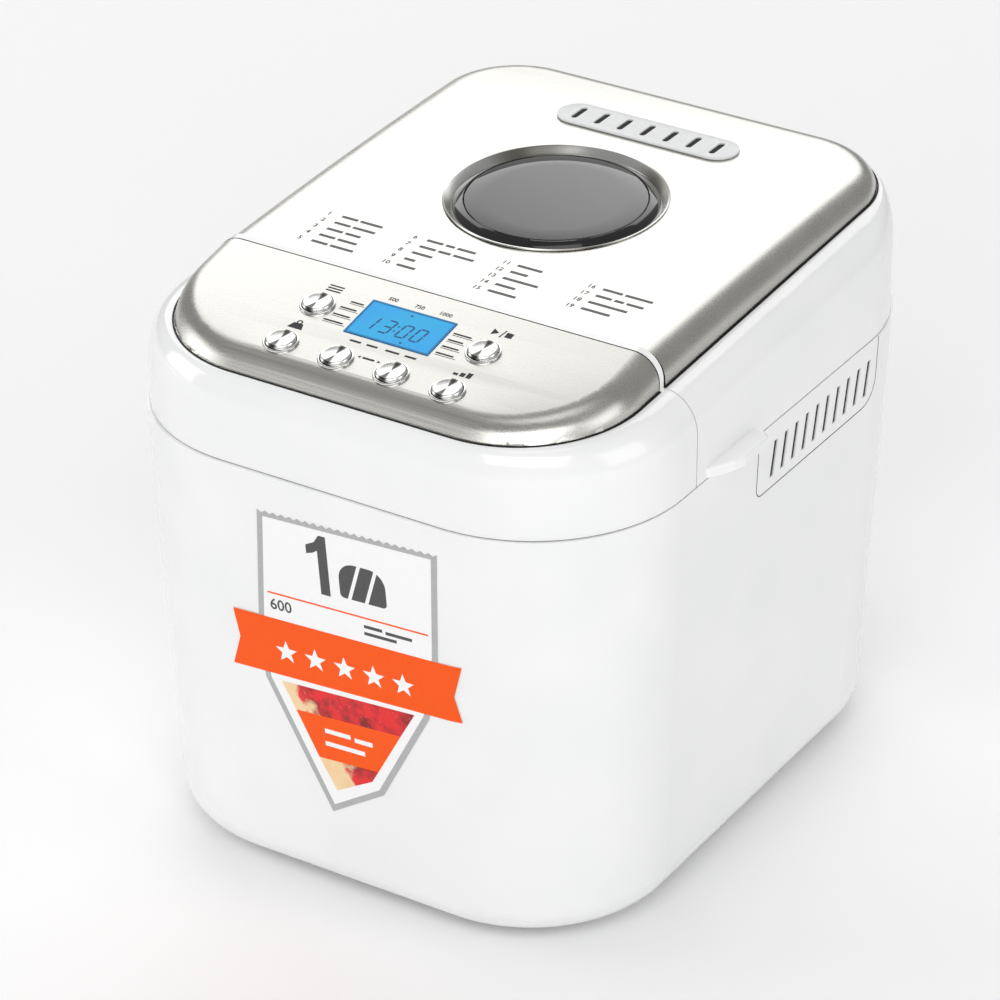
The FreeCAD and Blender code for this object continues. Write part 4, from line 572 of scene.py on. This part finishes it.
pressAxis = next(Vector(j["axis"]) for j in frame["joints"] if j["name"] == "button_menu_press")
deckTilt = math.acos(pressAxis.z)
lensLow, lensHigh = [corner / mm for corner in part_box("display_lens")]
lens = {"width": 41.2, "depth": 23.4, "centre": 1.2, "proud": 0.3}
deckPlace = Vector((0, lensLow.y + (lens["depth"] / 2 - lens["centre"]) * math.cos(deckTilt)
                    + lens["proud"] * math.sin(deckTilt),
                    lensHigh.z - (lens["depth"] / 2 + lens["centre"]) * math.sin(deckTilt)
                    - lens["proud"] * math.cos(deckTilt)))
deckFrame = Matrix.Translation(deckPlace) @ Matrix.Rotation(deckTilt, 4, "X")


def deckHeight(y):
    return deckPlace.z + (y - deckPlace.y) * math.tan(deckTilt)


def roundedSheet(corner, front, rear, roundFront, grow=0.0):
    # A flat sheet in plan, its two front or two rear corners rounded.
    half = skins["half"] + grow
    shape = sheet(box(-half, half, front - grow, rear + grow))
    return rounded(shape, shape.verts[:2] if roundFront else shape.verts[2:], corner + grow, 28)


def cutOff(shape, y, keepFront):
    sliced(shape, (0, y, 0), (0, 1, 0), clear_outer=keepFront, clear_inner=not keepFront)


def pressedSkin(corner, front, rear, roundFront, seam, heightAt):
    shape = roundedSheet(corner, front, rear, roundFront)
    roll = skins["roll"]
    bmesh.ops.translate(shape, verts=shape.verts, vec=(0, 0, -roll))
    reach = 0
    for step in range(skins["rollSteps"] - 1, -1, -1):
        turn = math.radians(90 * step / skins["rollSteps"])
        width = roll * (1 - math.sin(turn)) - reach
        reach += width
        inset(shape, largest(shape), width)
        for vert in largest(shape).verts:
            vert.co.z = -roll * (1 - math.cos(turn))
    cutOff(shape, seam, roundFront)
    for y in range(int(front) + 6, int(rear), 9):  # crosswise cuts, so that the top can follow its crown
        sliced(shape, (0, y, 0), (0, 1, 0))
    for vert in shape.verts:
        vert.co.z = max(vert.co.z + heightAt(vert.co.y), edgeHeight(vert.co.y))
    rim = [e for e in shape.edges if e.is_boundary and abs(sum(v.co.y for v in e.verts) / 2 - seam) > 0.01]
    hem = bmesh.ops.extrude_edge_only(shape, edges=rim)["geom"]
    for vert in hem:
        if isinstance(vert, bmesh.types.BMVert):
            vert.co.z = edgeHeight(vert.co.y)
    bmesh.ops.remove_doubles(shape, verts=shape.verts, dist=0.01)
    bmesh.ops.recalc_face_normals(shape, faces=shape.faces)
    if largest(shape).normal.z < 0:
        bmesh.ops.reverse_faces(shape, faces=shape.faces)
    bmesh.ops.solidify(shape, geom=shape.faces[:], thickness=skins["sheet"])
    return shape


def pill(length, width, low, high):
    shape = sheet(box(-length / 2, length / 2, -width / 2, width / 2), low)
    return raised(rounded(shape, shape.verts[:], width / 2 - 0.01, 16), high - low)


lidTilt = math.asin((crown["peak"] - windowSpot[1]) / crown["radius"])
windowFrame = Matrix.Translation((*windowSpot, lidHeight(windowSpot[1]))) @ Matrix.Rotation(lidTilt, 4, "X")
ventHeight = lidHeight(ventSpot["centre"][1])

lidEdge = (skins["cornerRear"], skins["lidFront"], skins["rear"], False, skins["lidSeam"])
deckEdge = (skins["cornerFront"], skins["front"], skins["deckRear"], True, skins["deckSeam"])


def rod(radius, low, high, steps=96):
    return turned([(0, low), (radius, low), (radius, high), (0, high)], steps)


def onVent(shape):
    return shifted(shape, *ventSpot["centre"], ventHeight)


def ventPill(margin, low, high):
    return pill(ventSpot["length"] - margin, ventSpot["width"] - margin, low, high)


lidSkin = newPiece("lid_skin_pressing", pressedSkin(*lidEdge, lidHeight), ["brushed_steel"], "lid",
                   ["lid_skin"])
cutAway(lidSkin, [moved(rod(48, -9, 6), windowFrame), onVent(ventPill(3, -8, 5))])

buttonSpots = {
    "button_weight": (-40.5, -27), "button_time_up": (-13.5, -27), "button_time_down": (13.5, -27),
    "button_colour": (40.5, -27), "button_menu": (-40.5, 0.7), "button_start": (40.5, 0.7),
}
deckSkin = newPiece("deck_skin_pressing", pressedSkin(*deckEdge, deckHeight), ["brushed_steel"], "case",
                    ["control_panel"])
buttonHole = 7.25
deckHoles = [shifted(rod(buttonHole, -6, 6, 48), *spot) for spot in buttonSpots.values()]
lensEdge = (-lens["width"] / 2, lens["width"] / 2, lens["centre"] - lens["depth"] / 2,
            lens["centre"] + lens["depth"] / 2)
deckHoles.append(rectangle(*lensEdge, -6, 6))
cutAway(deckSkin, [moved(joined(deckHoles), deckFrame)])
print("steel skins done")


# Dark bead between each steel skin and the white plastic, painted shade for the shadow in the gap there

def shadowBead(corner, front, rear, roundFront, seam):
    shape = roundedSheet(corner, front, rear, roundFront, skins["beadGap"] + skins["bead"])
    inset(shape, largest(shape), skins["bead"])
    bmesh.ops.delete(shape, geom=[largest(shape)], context="FACES")
    cutOff(shape, seam, roundFront)
    raised(shape, skins["beadHeight"])
    for vert in shape.verts:
        vert.co.z += edgeHeight(vert.co.y) - 0.02
    return shape


def seamShadow(corner, front, rear, roundFront, seam, heightAt, line):
    # A thin dark strip over the skin along its cut edge, painted shade for the shadow in the seam, |line| mm
    # wide; its sign says which side is kept.
    shape = pressedSkin(corner, front, rear, roundFront, seam, heightAt)
    cutOff(shape, seam + line, line > 0)
    shape.normal_update()
    lifted = {vert: vert.co + vert.normal * 0.07 for vert in shape.verts}
    for vert, spot in lifted.items():
        vert.co = spot
    return shape


newPiece("lid_shadow_bead", shadowBead(*lidEdge), ["shadow_gap"], "lid")
newPiece("deck_shadow_bead", shadowBead(*deckEdge), ["shadow_gap"], "case")
newPiece("lid_seam_shadow", seamShadow(*lidEdge, lidHeight, 0.5), ["shadow_gap"], "lid")
newPiece("deck_seam_shadow", seamShadow(*deckEdge, deckHeight, -0.4), ["shadow_gap"], "case")


# Dark strip in the seam at the waist, painted shade for the shadow in the gap, left out at the hinges

waist = {
    "half": 124.2, "reach": 152.7, "corner": 70.7, "wall": 1.4, "low": 206.03, "high": 206.37,
    "hinge": 56, "rearFrom": 140,
}


def waistShadowStrip():
    shape = sheet(box(-waist["half"], waist["half"], -waist["reach"], waist["reach"]), waist["low"])
    rounded(shape, shape.verts[:], waist["corner"], 24)
    inset(shape, largest(shape), waist["wall"])
    bmesh.ops.delete(shape, geom=[largest(shape)], context="FACES")
    for x in (-waist["hinge"], waist["hinge"]):
        sliced(shape, (x, 0, 0), (1, 0, 0))
    behind = []
    for face in shape.faces:
        spot = face.calc_center_median()
        if spot.y > waist["rearFrom"] and abs(spot.x) < waist["hinge"]:
            behind.append(face)
    bmesh.ops.delete(shape, geom=behind, context="FACES")
    return raised(shape, waist["high"] - waist["low"])


newPiece("waist_shadow_strip", waistShadowStrip(), ["shadow_gap"], "case")
print("seams done")


# Buttons and their rings

button = {"radius": 6.4, "round": 0.8, "proud": 2.2, "dish": 0.4, "skirt": -7, "stem": (2.2, -15.3)}
capProfile = [
    (0, button["proud"] - button["dish"]), (3.0, button["proud"] - 0.34), (4.7, button["proud"] - 0.14),
    (5.4, button["proud"]), (5.8, button["proud"] - 0.06), (6.15, button["proud"] - 0.3),
    (button["radius"], button["proud"] - button["round"]), (button["radius"], button["skirt"]),
    (button["stem"][0], button["skirt"]), button["stem"], (0, button["stem"][1]),
]
ringProfile = [(6.75, -2), (buttonHole, -2), (buttonHole, 0), (7.7, 0.02), (7.7, 0.55), (7.58, 0.82),
               (7.3, 0.98), (7.0, 0.98), (6.82, 0.86), (6.75, 0.6)]


def onCap(shape, radius):
    # Stores the place on the piece, -1 to 1 over its radius, as the UV map that the spun finish follows.
    cap = shape.loops.layers.uv.new("cap")
    for face in shape.faces:
        for corner in face.loops:
            corner[cap].uv = (corner.vert.co.x / radius, corner.vert.co.y / radius)
    return shape


rings = []
for name, spot in buttonSpots.items():
    cap = onCap(turned(capProfile, 64), button["radius"])
    newPiece(name + "_cap", moved(shifted(cap, *spot), deckFrame), ["button_metal"], name,
             [name])
    rings.append(shifted(turned(ringProfile, 64, closed=True), *spot))
newPiece("button_rings", moved(joined(rings), deckFrame), ["bezel_silver"], "case",
         ["button_bezels"])
print("buttons done")


# Display: cyan panel in a darker frame, with seven-segment digits

display = {
    "frame": 0.9, "recess": 0.14, "digit": (4.0, 8.4), "bar": 0.8, "slant": 0.14, "base": -4.9, "ink": 0.05,
}
segments = {  # centre as shares of the digit's width and height, and whether the bar stands upright
    "a": (0, 1, False), "g": (0, 0.5, False), "d": (0, 0, False), "f": (-0.5, 0.75, True),
    "b": (0.5, 0.75, True), "e": (-0.5, 0.25, True), "c": (0.5, 0.25, True),
}
digits = [("bc", -12.9), ("abgcd", -4.9), ("abcdef", 3.3), ("abcdef", 10.2)]  # lit segments and place


def segmentBar(length, width, upright):
    half, tip = length / 2, width / 2
    shape = plate([(-half, 0), (-half + tip, -tip), (half - tip, -tip), (half, 0), (half - tip, tip),
                   (-half + tip, tip)], 0, display["ink"])
    return moved(shape, Matrix.Rotation(math.pi / 2, 4, "Z")) if upright else shape


def displayDigits():
    width, height = display["digit"]
    shapes = []
    for lit, place in digits:
        for letter in lit:
            across, up, upright = segments[letter]
            bar = segmentBar(height / 2 - 0.3 if upright else width - 0.3, display["bar"], upright)
            shapes.append(shifted(bar, place + across * width, up * height))
    for height in (2.4, 5.8):
        shapes.append(rectangle(-1.3, -0.5, height, height + 0.8, 0, display["ink"]))
    shape = joined(shapes)
    for vert in shape.verts:
        vert.co.x += display["slant"] * (vert.co.y - display["digit"][1] / 2)
    shapes = [shifted(shape, y=display["base"])]
    shapes.append(plate([(-0.4, 9.2), (1.4, 9.2), (0.5, 10.4)], 0, display["ink"]))
    shapes.append(plate([(5.7, -8.6), (6.6, -7.4), (4.8, -7.4)], 0, display["ink"]))
    return painted(joined(shapes), 2)


def displayLens():
    shape = rectangle(*lensEdge, -1.6, lens["proud"])
    panel = max(shape.faces, key=lambda face: face.calc_center_median().z)
    inset(shape, panel, display["frame"])
    panel = max(shape.faces, key=lambda face: (round(face.normal.z, 3), face.calc_area()))
    inset(shape, panel, 0.1, -display["recess"])
    panel = max((f for f in shape.faces if f.normal.z > 0.9), key=lambda face: face.calc_area())
    panel.material_index = 1
    return joined([shape, shifted(displayDigits(), z=lens["proud"] - display["recess"])])


newPiece("display_face", moved(displayLens(), deckFrame), ["frame_blue", "display_blue", "ink_blue"], "case",
         ["display_lens"], sharp=20)
print("display done")


# Printed marks: numbers and plain bars, no words

marks = {"thick": 0.05, "bar": 1.1, "rule": 0.3, "row": 0.9, "rowUp": 0.5, "ruleDown": 0.75, "rowShare": 0.86}
deckRows = [  # x, y and length of the rows beside the display, each a bar over a thin rule
    (-28.7, 7.6, 7.3), (-31.0, 2.9, 9.3), (-31.3, -2.1, 9.5), (-33.0, -6.9, 11),
    (22.4, 6.4, 10), (22.4, 1.9, 8.4), (22.4, -2.7, 9.2), (22.4, -7.4, 9.8),
]
deckBars = [  # x, y, length and height
    (-14.8, -14.3, 5.4, marks["bar"]), (-6.6, -14.3, 5.2, marks["bar"]), (2.6, -14.3, 6.6, marks["bar"]),
    (12.0, -14.3, 5.4, marks["bar"]), (-3.4, -22.3, 5.6, marks["bar"]),
    (-43.2, 11.2, 7.2, 0.8), (-43.2, 12.9, 7.2, 0.8), (-43.2, 14.6, 7.2, 0.8),  # menu: three lines
]
deckSigns = [
    [(-5.8, -22.3), (-4.4, -23.1), (-4.4, -21.5)],  # arrows between the two time buttons
    [(5.2, -22.3), (3.8, -21.5), (3.8, -23.1)],
    [(-44.2, -17), (-37, -17), (-38.4, -13.4), (-42.8, -13.4)],  # weight
    box(36.4, 38.6, -16.7, -15.3), box(39.4, 41.6, -16.7, -14.3), box(42.4, 44.6, -16.7, -13.3),  # crust
    [(36.4, 12.6), (39.6, 14.6), (36.4, 16.6)],  # start, a stroke, stop
    [(40.6, 12.2), (41.2, 12.2), (42.2, 17), (41.6, 17)],
    box(42.8, 46, 13, 16.2),
]
weightHandle = {"inner": 0.75, "outer": 1.35, "centre": (-40.6, -12.6)}


def bar(x, y, length, height):
    return rectangle(x, x + length, y - height / 2, y + height / 2, 0, marks["thick"])


def number(text, x, y, height, centred=True):
    shape = lettering(text, height)
    left, right = min(v.co.x for v in shape.verts), max(v.co.x for v in shape.verts)
    return shifted(shape, x - ((left + right) / 2 if centred else left), y - height * 0.35, 0.03)


def deckMarks():
    shapes = [number(text, x, 16.5, 3.1) for text, x in (("500", -12.9), ("750", 0), ("1000", 12.9))]
    for x, y, length in deckRows:
        shapes += [bar(x, y + marks["rowUp"], length * marks["rowShare"], marks["row"]),
                   bar(x, y - marks["ruleDown"], length, marks["rule"])]
    shapes += [bar(*values) for values in deckBars]
    shapes += [plate(outline, 0, marks["thick"]) for outline in deckSigns]
    inner, outer, thick = weightHandle["inner"], weightHandle["outer"], marks["thick"]
    handle = turned([(inner, 0), (outer, 0), (outer, thick), (inner, thick)], 32, True)
    shapes.append(shifted(handle, *weightHandle["centre"]))
    return moved(joined(shapes), deckFrame)


programmes = [  # x of each column, its first number, and the length of each row's bars in mm
    (-77, 1, ((8, 11), (8, 11), (8, 7.5), (8, 9.5), (8, 11.5))),
    (-34, 6, ((8, 4.4, 9), (8, 6, 10), (10,), (5.2,), (9,))),
    (11, 11, ((12,), (8.4,), (17,), (9.6,), (13.4,))),
    (52.5, 16, ((9.4, 13), (7.6, 4.4, 8), (18.4,), (13.6,))),
]
listRows = {"first": -35.7, "pitch": 5.9, "text": 3.9, "bar": 1.7, "indent": 6.6, "space": 1.4}


def lidMarks():
    shapes = []
    for x, first, rows in programmes:
        for row, lengths in enumerate(rows):
            y = listRows["first"] - listRows["pitch"] * row
            shapes.append(number(str(first + row), x, y, listRows["text"], False))
            start = x + listRows["indent"]
            for length in lengths:
                shapes.append(bar(start, y, length, listRows["bar"]))
                start += length + listRows["space"]
    shape = joined(shapes)
    for vert in shape.verts:
        vert.co.z += lidHeight(vert.co.y) + 0.01
    return shape


newPiece("deck_marks", deckMarks(), ["ink_dark"], "case")
newPiece("lid_marks", lidMarks(), ["ink_mid"], "lid")
print("marks done")


# Window and steam vent in the lid

windowRadius = 49
windowProfiles = {
    "ring": [(44.7, -6), (47.9, -6), (47.9, -0.02), (windowRadius, 0), (windowRadius, 0.4), (48.86, 0.62),
             (48.5, 0.7), (48.05, 0.55), (45.3, -1.85), (44.9, -2.1), (44.7, -2.4)],
    "frame": [(37.8, -18), (44.65, -18), (44.65, -2.35), (44.3, -2.05), (40.8, -0.2), (40.3, -0.05),
              (39.95, -0.3), (39.85, -0.8), (39.85, -4), (37.8, -4)],
    "glass": [(0, -4), (39.75, -4), (39.75, -0.5), (39.5, -0.12), (38.9, 0.12), (30, 0.32), (15, 0.45),
              (0, 0.5)],
}
windowRing = onCap(turned(windowProfiles["ring"], 160, True), windowRadius)
newPiece("window_bezel", moved(windowRing, windowFrame), ["spun_steel"], "lid",
         ["window_ring"])
newPiece("window_surround", moved(turned(windowProfiles["frame"], 160, True), windowFrame),
         ["black_plastic"], "lid", ["window_frame"])
newPiece("window_pane", moved(turned(windowProfiles["glass"], 160), windowFrame), ["smoked_glass"], "lid",
         ["window_glass"])

vent = newPiece("steam_vent", onVent(softened(ventPill(0, 0.05, 1.2), 0.45)), ["vent_plastic"], "lid",
                ["lid_vent"])
cutAway(vent, [onVent(ventPill(3, -6, 0.3))], "UNION")
slots = []
for place in range(ventSpot["slots"]):
    slot = moved(pill(*reversed(ventSpot["slot"]), -3, 4), Matrix.Rotation(math.pi / 2, 4, "Z"))
    slots.append(shifted(slot, (place - ventSpot["slots"] // 2) * ventSpot["pitch"]))
cutAway(vent, [onVent(ventPill(5.4, -7, -0.6))])
cutAway(vent, [onVent(joined(slots))])
# A dark sheet under the slots: painted shade for the hollow behind them
newPiece("steam_vent_shade_sheet", onVent(ventPill(6, 0.3, 0.5)), ["shadow_gap"], "lid")
print("window and vent done")


# Side vents: a painted shadow line round each panel and a dark sheet of painted shade behind its slots

sideVent = {
    "front": -18, "rear": 88, "low": 174.5, "high": 205.9, "cornerFront": 5, "cornerRear": 12,
    "line": 0.45, "lift": 0.05, "screen": box(-10, 82, 178.5, 198.5), "inside": 0.7, "sheet": 0.04,
}
sides = {-1: "left", 1: "right"}
farOut = 300  # mm, where a search for a wall starts


def surfaceOf(name):
    return BVHTree.FromObject(frame["nodes"][name], bpy.context.evaluated_depsgraph_get())


def wallAt(surface, start, direction):
    # Where a line from outside first meets a surface, or None.
    return surface.ray_cast(Vector(start) * mm, Vector(direction))[0]


caseSurface = surfaceOf("body_shell")
ventSurfaces = {side: surfaceOf("side_vent_" + name) for side, name in sides.items()}


def panelLine(margin):
    front, rear, low = sideVent["front"] + margin, sideVent["rear"] - margin, sideVent["low"] + margin
    frontRadius, rearRadius = sideVent["cornerFront"] - margin, sideVent["cornerRear"] - margin
    points = [(front, sideVent["high"])]
    for centre, radius, start in ((front + frontRadius, frontRadius, 180),
                                  (rear - rearRadius, rearRadius, 270)):
        for step in range(9):
            turn = math.radians(start + 90 * step / 8)
            points.append((centre + radius * math.cos(turn), low + radius + radius * math.sin(turn)))
    return points + [(rear, sideVent["high"])]


def panelShadow(side):
    shape = bmesh.new()
    rows = []
    for margin, surface in ((0, caseSurface), (sideVent["line"], ventSurfaces[side])):
        row = []
        for y, z in panelLine(margin):
            wall = wallAt(surface, (side * farOut, y, z), (-side, 0, 0))
            place = wall.x / mm if wall else rows[0][len(row)].co.x
            row.append(shape.verts.new((place + side * sideVent["lift"], y, z)))
        rows.append(row)
    for outer, inner, innerNext, outerNext in zip(rows[0], rows[1], rows[1][1:], rows[0][1:]):
        shape.faces.new((outer, inner, innerNext, outerNext))
    return shape


# Painted shade: a dark sheet just inside the vent panel, behind its slots
def panelShadeSheet(side):
    shape = bmesh.new()
    for y, z in sideVent["screen"]:
        wall = wallAt(ventSurfaces[side], (side * farOut, y, z), (-side, 0, 0))
        shape.verts.new((wall.x / mm - side * sideVent["inside"], y, z))
    shape.faces.new(shape.verts[:])
    return shape


for side, name in sides.items():
    paintedShadowSheets = joined([panelShadow(side), panelShadeSheet(side)])
    bmesh.ops.recalc_face_normals(paintedShadowSheets, faces=paintedShadowSheets.faces)
    bmesh.ops.solidify(paintedShadowSheets, geom=paintedShadowSheets.faces[:], thickness=sideVent["sheet"])
    newPiece("side_vent_shadow_" + name, paintedShadowSheets, ["shadow_gap"], "case")
print("side vents done")


# Front label: printed tag with a ribbon across it, laid on the case

label = {
    "tag": [(-36, 188.8), (-38.3, 137.5), (-36.6, 105.7), (-5.7, 46.4), (20.8, 64), (45.4, 111.1),
            (50.8, 142.2), (52.3, 193.8)],
    "border": 2.8, "teeth": 22, "tooth": 1.3, "teethAbove": 186,
    "ribbon": [(-51.3, 135.4), (-48.5, 122), (-52.7, 107.3), (61.5, 114.5), (58.1, 126.4), (62, 141.8)],
    "upper": [(-28.6, 105.9), (-21.8, 93.5), (30.8, 97.6), (38.2, 110.9)],
    "band": [(-21.8, 93.5), (-11.2, 72.8), (18.7, 75.2), (30.8, 97.6)],
    "lower": [(-11.2, 72.8), (-2.9, 58.3), (15.3, 69.1), (18.7, 75.2)],
    "line": [(-33, 148.8), (46.6, 152.8), (46.6, 153.6), (-33, 149.6)],
    "tilt": 2.9, "film": 0.04, "lift": 0.02,
    "bends": (-54, 54, 57, 60),  # where the case's front starts to turn
}


def onFront(shape, lift):
    # Stands a shape drawn in plan up against the front of the case, its z becoming its height off the wall.
    moved(shape, Matrix.Rotation(math.pi / 2, 4, "X"))
    for x in label["bends"]:
        sliced(shape, (x, 0, 0), (1, 0, 0))
    for vert in shape.verts:
        wall = wallAt(caseSurface, (vert.co.x, -farOut, vert.co.z), (0, 1, 0))
        vert.co.y += wall.y / mm - lift
    return shape


def tagPlate():
    # The tag, its top edge cut into small teeth.
    shape = plate(label["tag"], 0, 0.2)
    edge = [e for e in shape.edges if all(v.co.y > label["teethAbove"] for v in e.verts)
            and abs(e.verts[0].co.z - e.verts[1].co.z) < 0.01]
    bmesh.ops.subdivide_edges(shape, edges=edge, cuts=2 * label["teeth"] - 1)
    top = [v for v in shape.verts if v.co.y > label["teethAbove"]]
    span = sorted({round(v.co.x, 3) for v in top})
    for vert in top:
        if span.index(round(vert.co.x, 3)) % 2:
            vert.co.y -= label["tooth"]
    return shape


def inward(points, margin):
    shape = sheet(points)
    shape.normal_update()
    inset(shape, largest(shape), margin)
    return [(v.co.x, v.co.y) for v in largest(shape).verts]


def tilted(shape, x, y):
    return shifted(moved(shape, Matrix.Rotation(math.radians(label["tilt"]), 4, "Z")), x, y)


def star(radius):
    points = []
    for step in range(10):
        reach = radius if step % 2 == 0 else radius * 0.42
        turn = math.radians(90 + 36 * step)
        points.append((reach * math.cos(turn), reach * math.sin(turn)))
    return plate(points, 0, label["film"])


boldOne = [(0, 0), (4.7, 0), (4.7, 28.5), (1.3, 28.5), (-1.2, 24.8), (-5.6, 22.6), (-5.6, 18.4), (-2.4, 19.4),
           (0, 21)]
loafSign = {"half": 11.5, "height": 17, "top": 8, "foot": 2, "slashes": (-4.2, 4.2), "gap": 0.9, "lean": 0.35,
            "middle": 8}


def loaf():
    # Generic loaf sign: a rounded block with two slashes left open.
    shape = sheet(box(-loafSign["half"], loafSign["half"], 0, loafSign["height"]))
    rounded(shape, shape.verts[2:], loafSign["top"], 10)
    rounded(shape, [v for v in shape.verts if v.co.y < 0.1], loafSign["foot"], 4)
    for x in loafSign["slashes"]:
        for edge in (-loafSign["gap"], loafSign["gap"]):
            sliced(shape, (x + edge, loafSign["middle"], 0), (1, -loafSign["lean"], 0))
        gap = []
        for face in shape.faces:
            spot = face.calc_center_median()
            if abs(spot.x - x - loafSign["lean"] * (spot.y - loafSign["middle"])) < 0.7:
                gap.append(face)
        bmesh.ops.delete(shape, geom=gap, context="FACES")
    return raised(shape, label["film"])


def laid(shape, height, paint):
    return painted(shifted(shape, z=height), paint)


def printed(shape, height, paint, x, y):
    return painted(tilted(shifted(shape, z=height), x, y), paint)


def printedBars(rows, height, paint, left, top, pitch, thick, space):
    shapes = []
    for row, lengths in enumerate(rows):
        start = left
        for length in lengths:
            shapes.append(printed(bar(0, 0, length, thick), height, paint, start, top - pitch * row))
            start += length + space
    return shapes


film = label["film"]
paper, white, orange, picture, ink = range(5)
labelInks = ["film_edge", "film_white", "film_orange", "jam_print", "ink_grey"]
layers = [
    painted(tagPlate(), paper),
    laid(plate(inward(label["tag"], label["border"]), 0, film), 0.2, white),
    laid(plate(label["upper"], 0, film), 0.25, picture),
    laid(plate(label["lower"], 0, film), 0.25, picture),
    laid(plate(label["band"], 0, 0.06), 0.25, orange),
    laid(plate(label["line"], 0, film), 0.25, orange),
    laid(plate(label["ribbon"], 0, 0.12), 0.27, orange),
    printed(plate(boldOne, 0, film), 0.24, ink, -5.6, 156.6),
    printed(loaf(), 0.24, ink, 15.5, 159),
    printed(number("600", 0, 0, 7.4), 0.24, ink, -26.6, 144.2),
]
layers += printedBars(((9, 13), (16,)), 0.24, ink, 15, 147.4, 3.4, 1.5, 1.6)
layers += [printed(star(5.6), 0.39, white, -25 + 14.6 * place, 121.4 + 0.72 * place) for place in range(5)]
layers += printedBars(((13, 9), (20,)), 0.31, white, -7.6, 87.6, 6.4, 2.2, 2)
newPiece("front_label_print", onFront(joined(layers), label["lift"]), labelInks, "case",
         ["front_label"], sharp=20)
print("label done")


# Floor

floorShape = bmesh.new()
bmesh.ops.create_grid(floorShape, x_segments=1, y_segments=1, size=15)
floorMesh = bpy.data.meshes.new("floor")
floorShape.to_mesh(floorMesh)
floorShape.free()
floor = bpy.data.objects.new("floor", floorMesh)
bpy.context.scene.collection.objects.link(floor)
floorPaint, floorShader = newMaterial("pale_floor", {"Base Color": toLinear("FDFDFD"), "Roughness": 0.6})
floorMesh.materials.append(floorPaint)
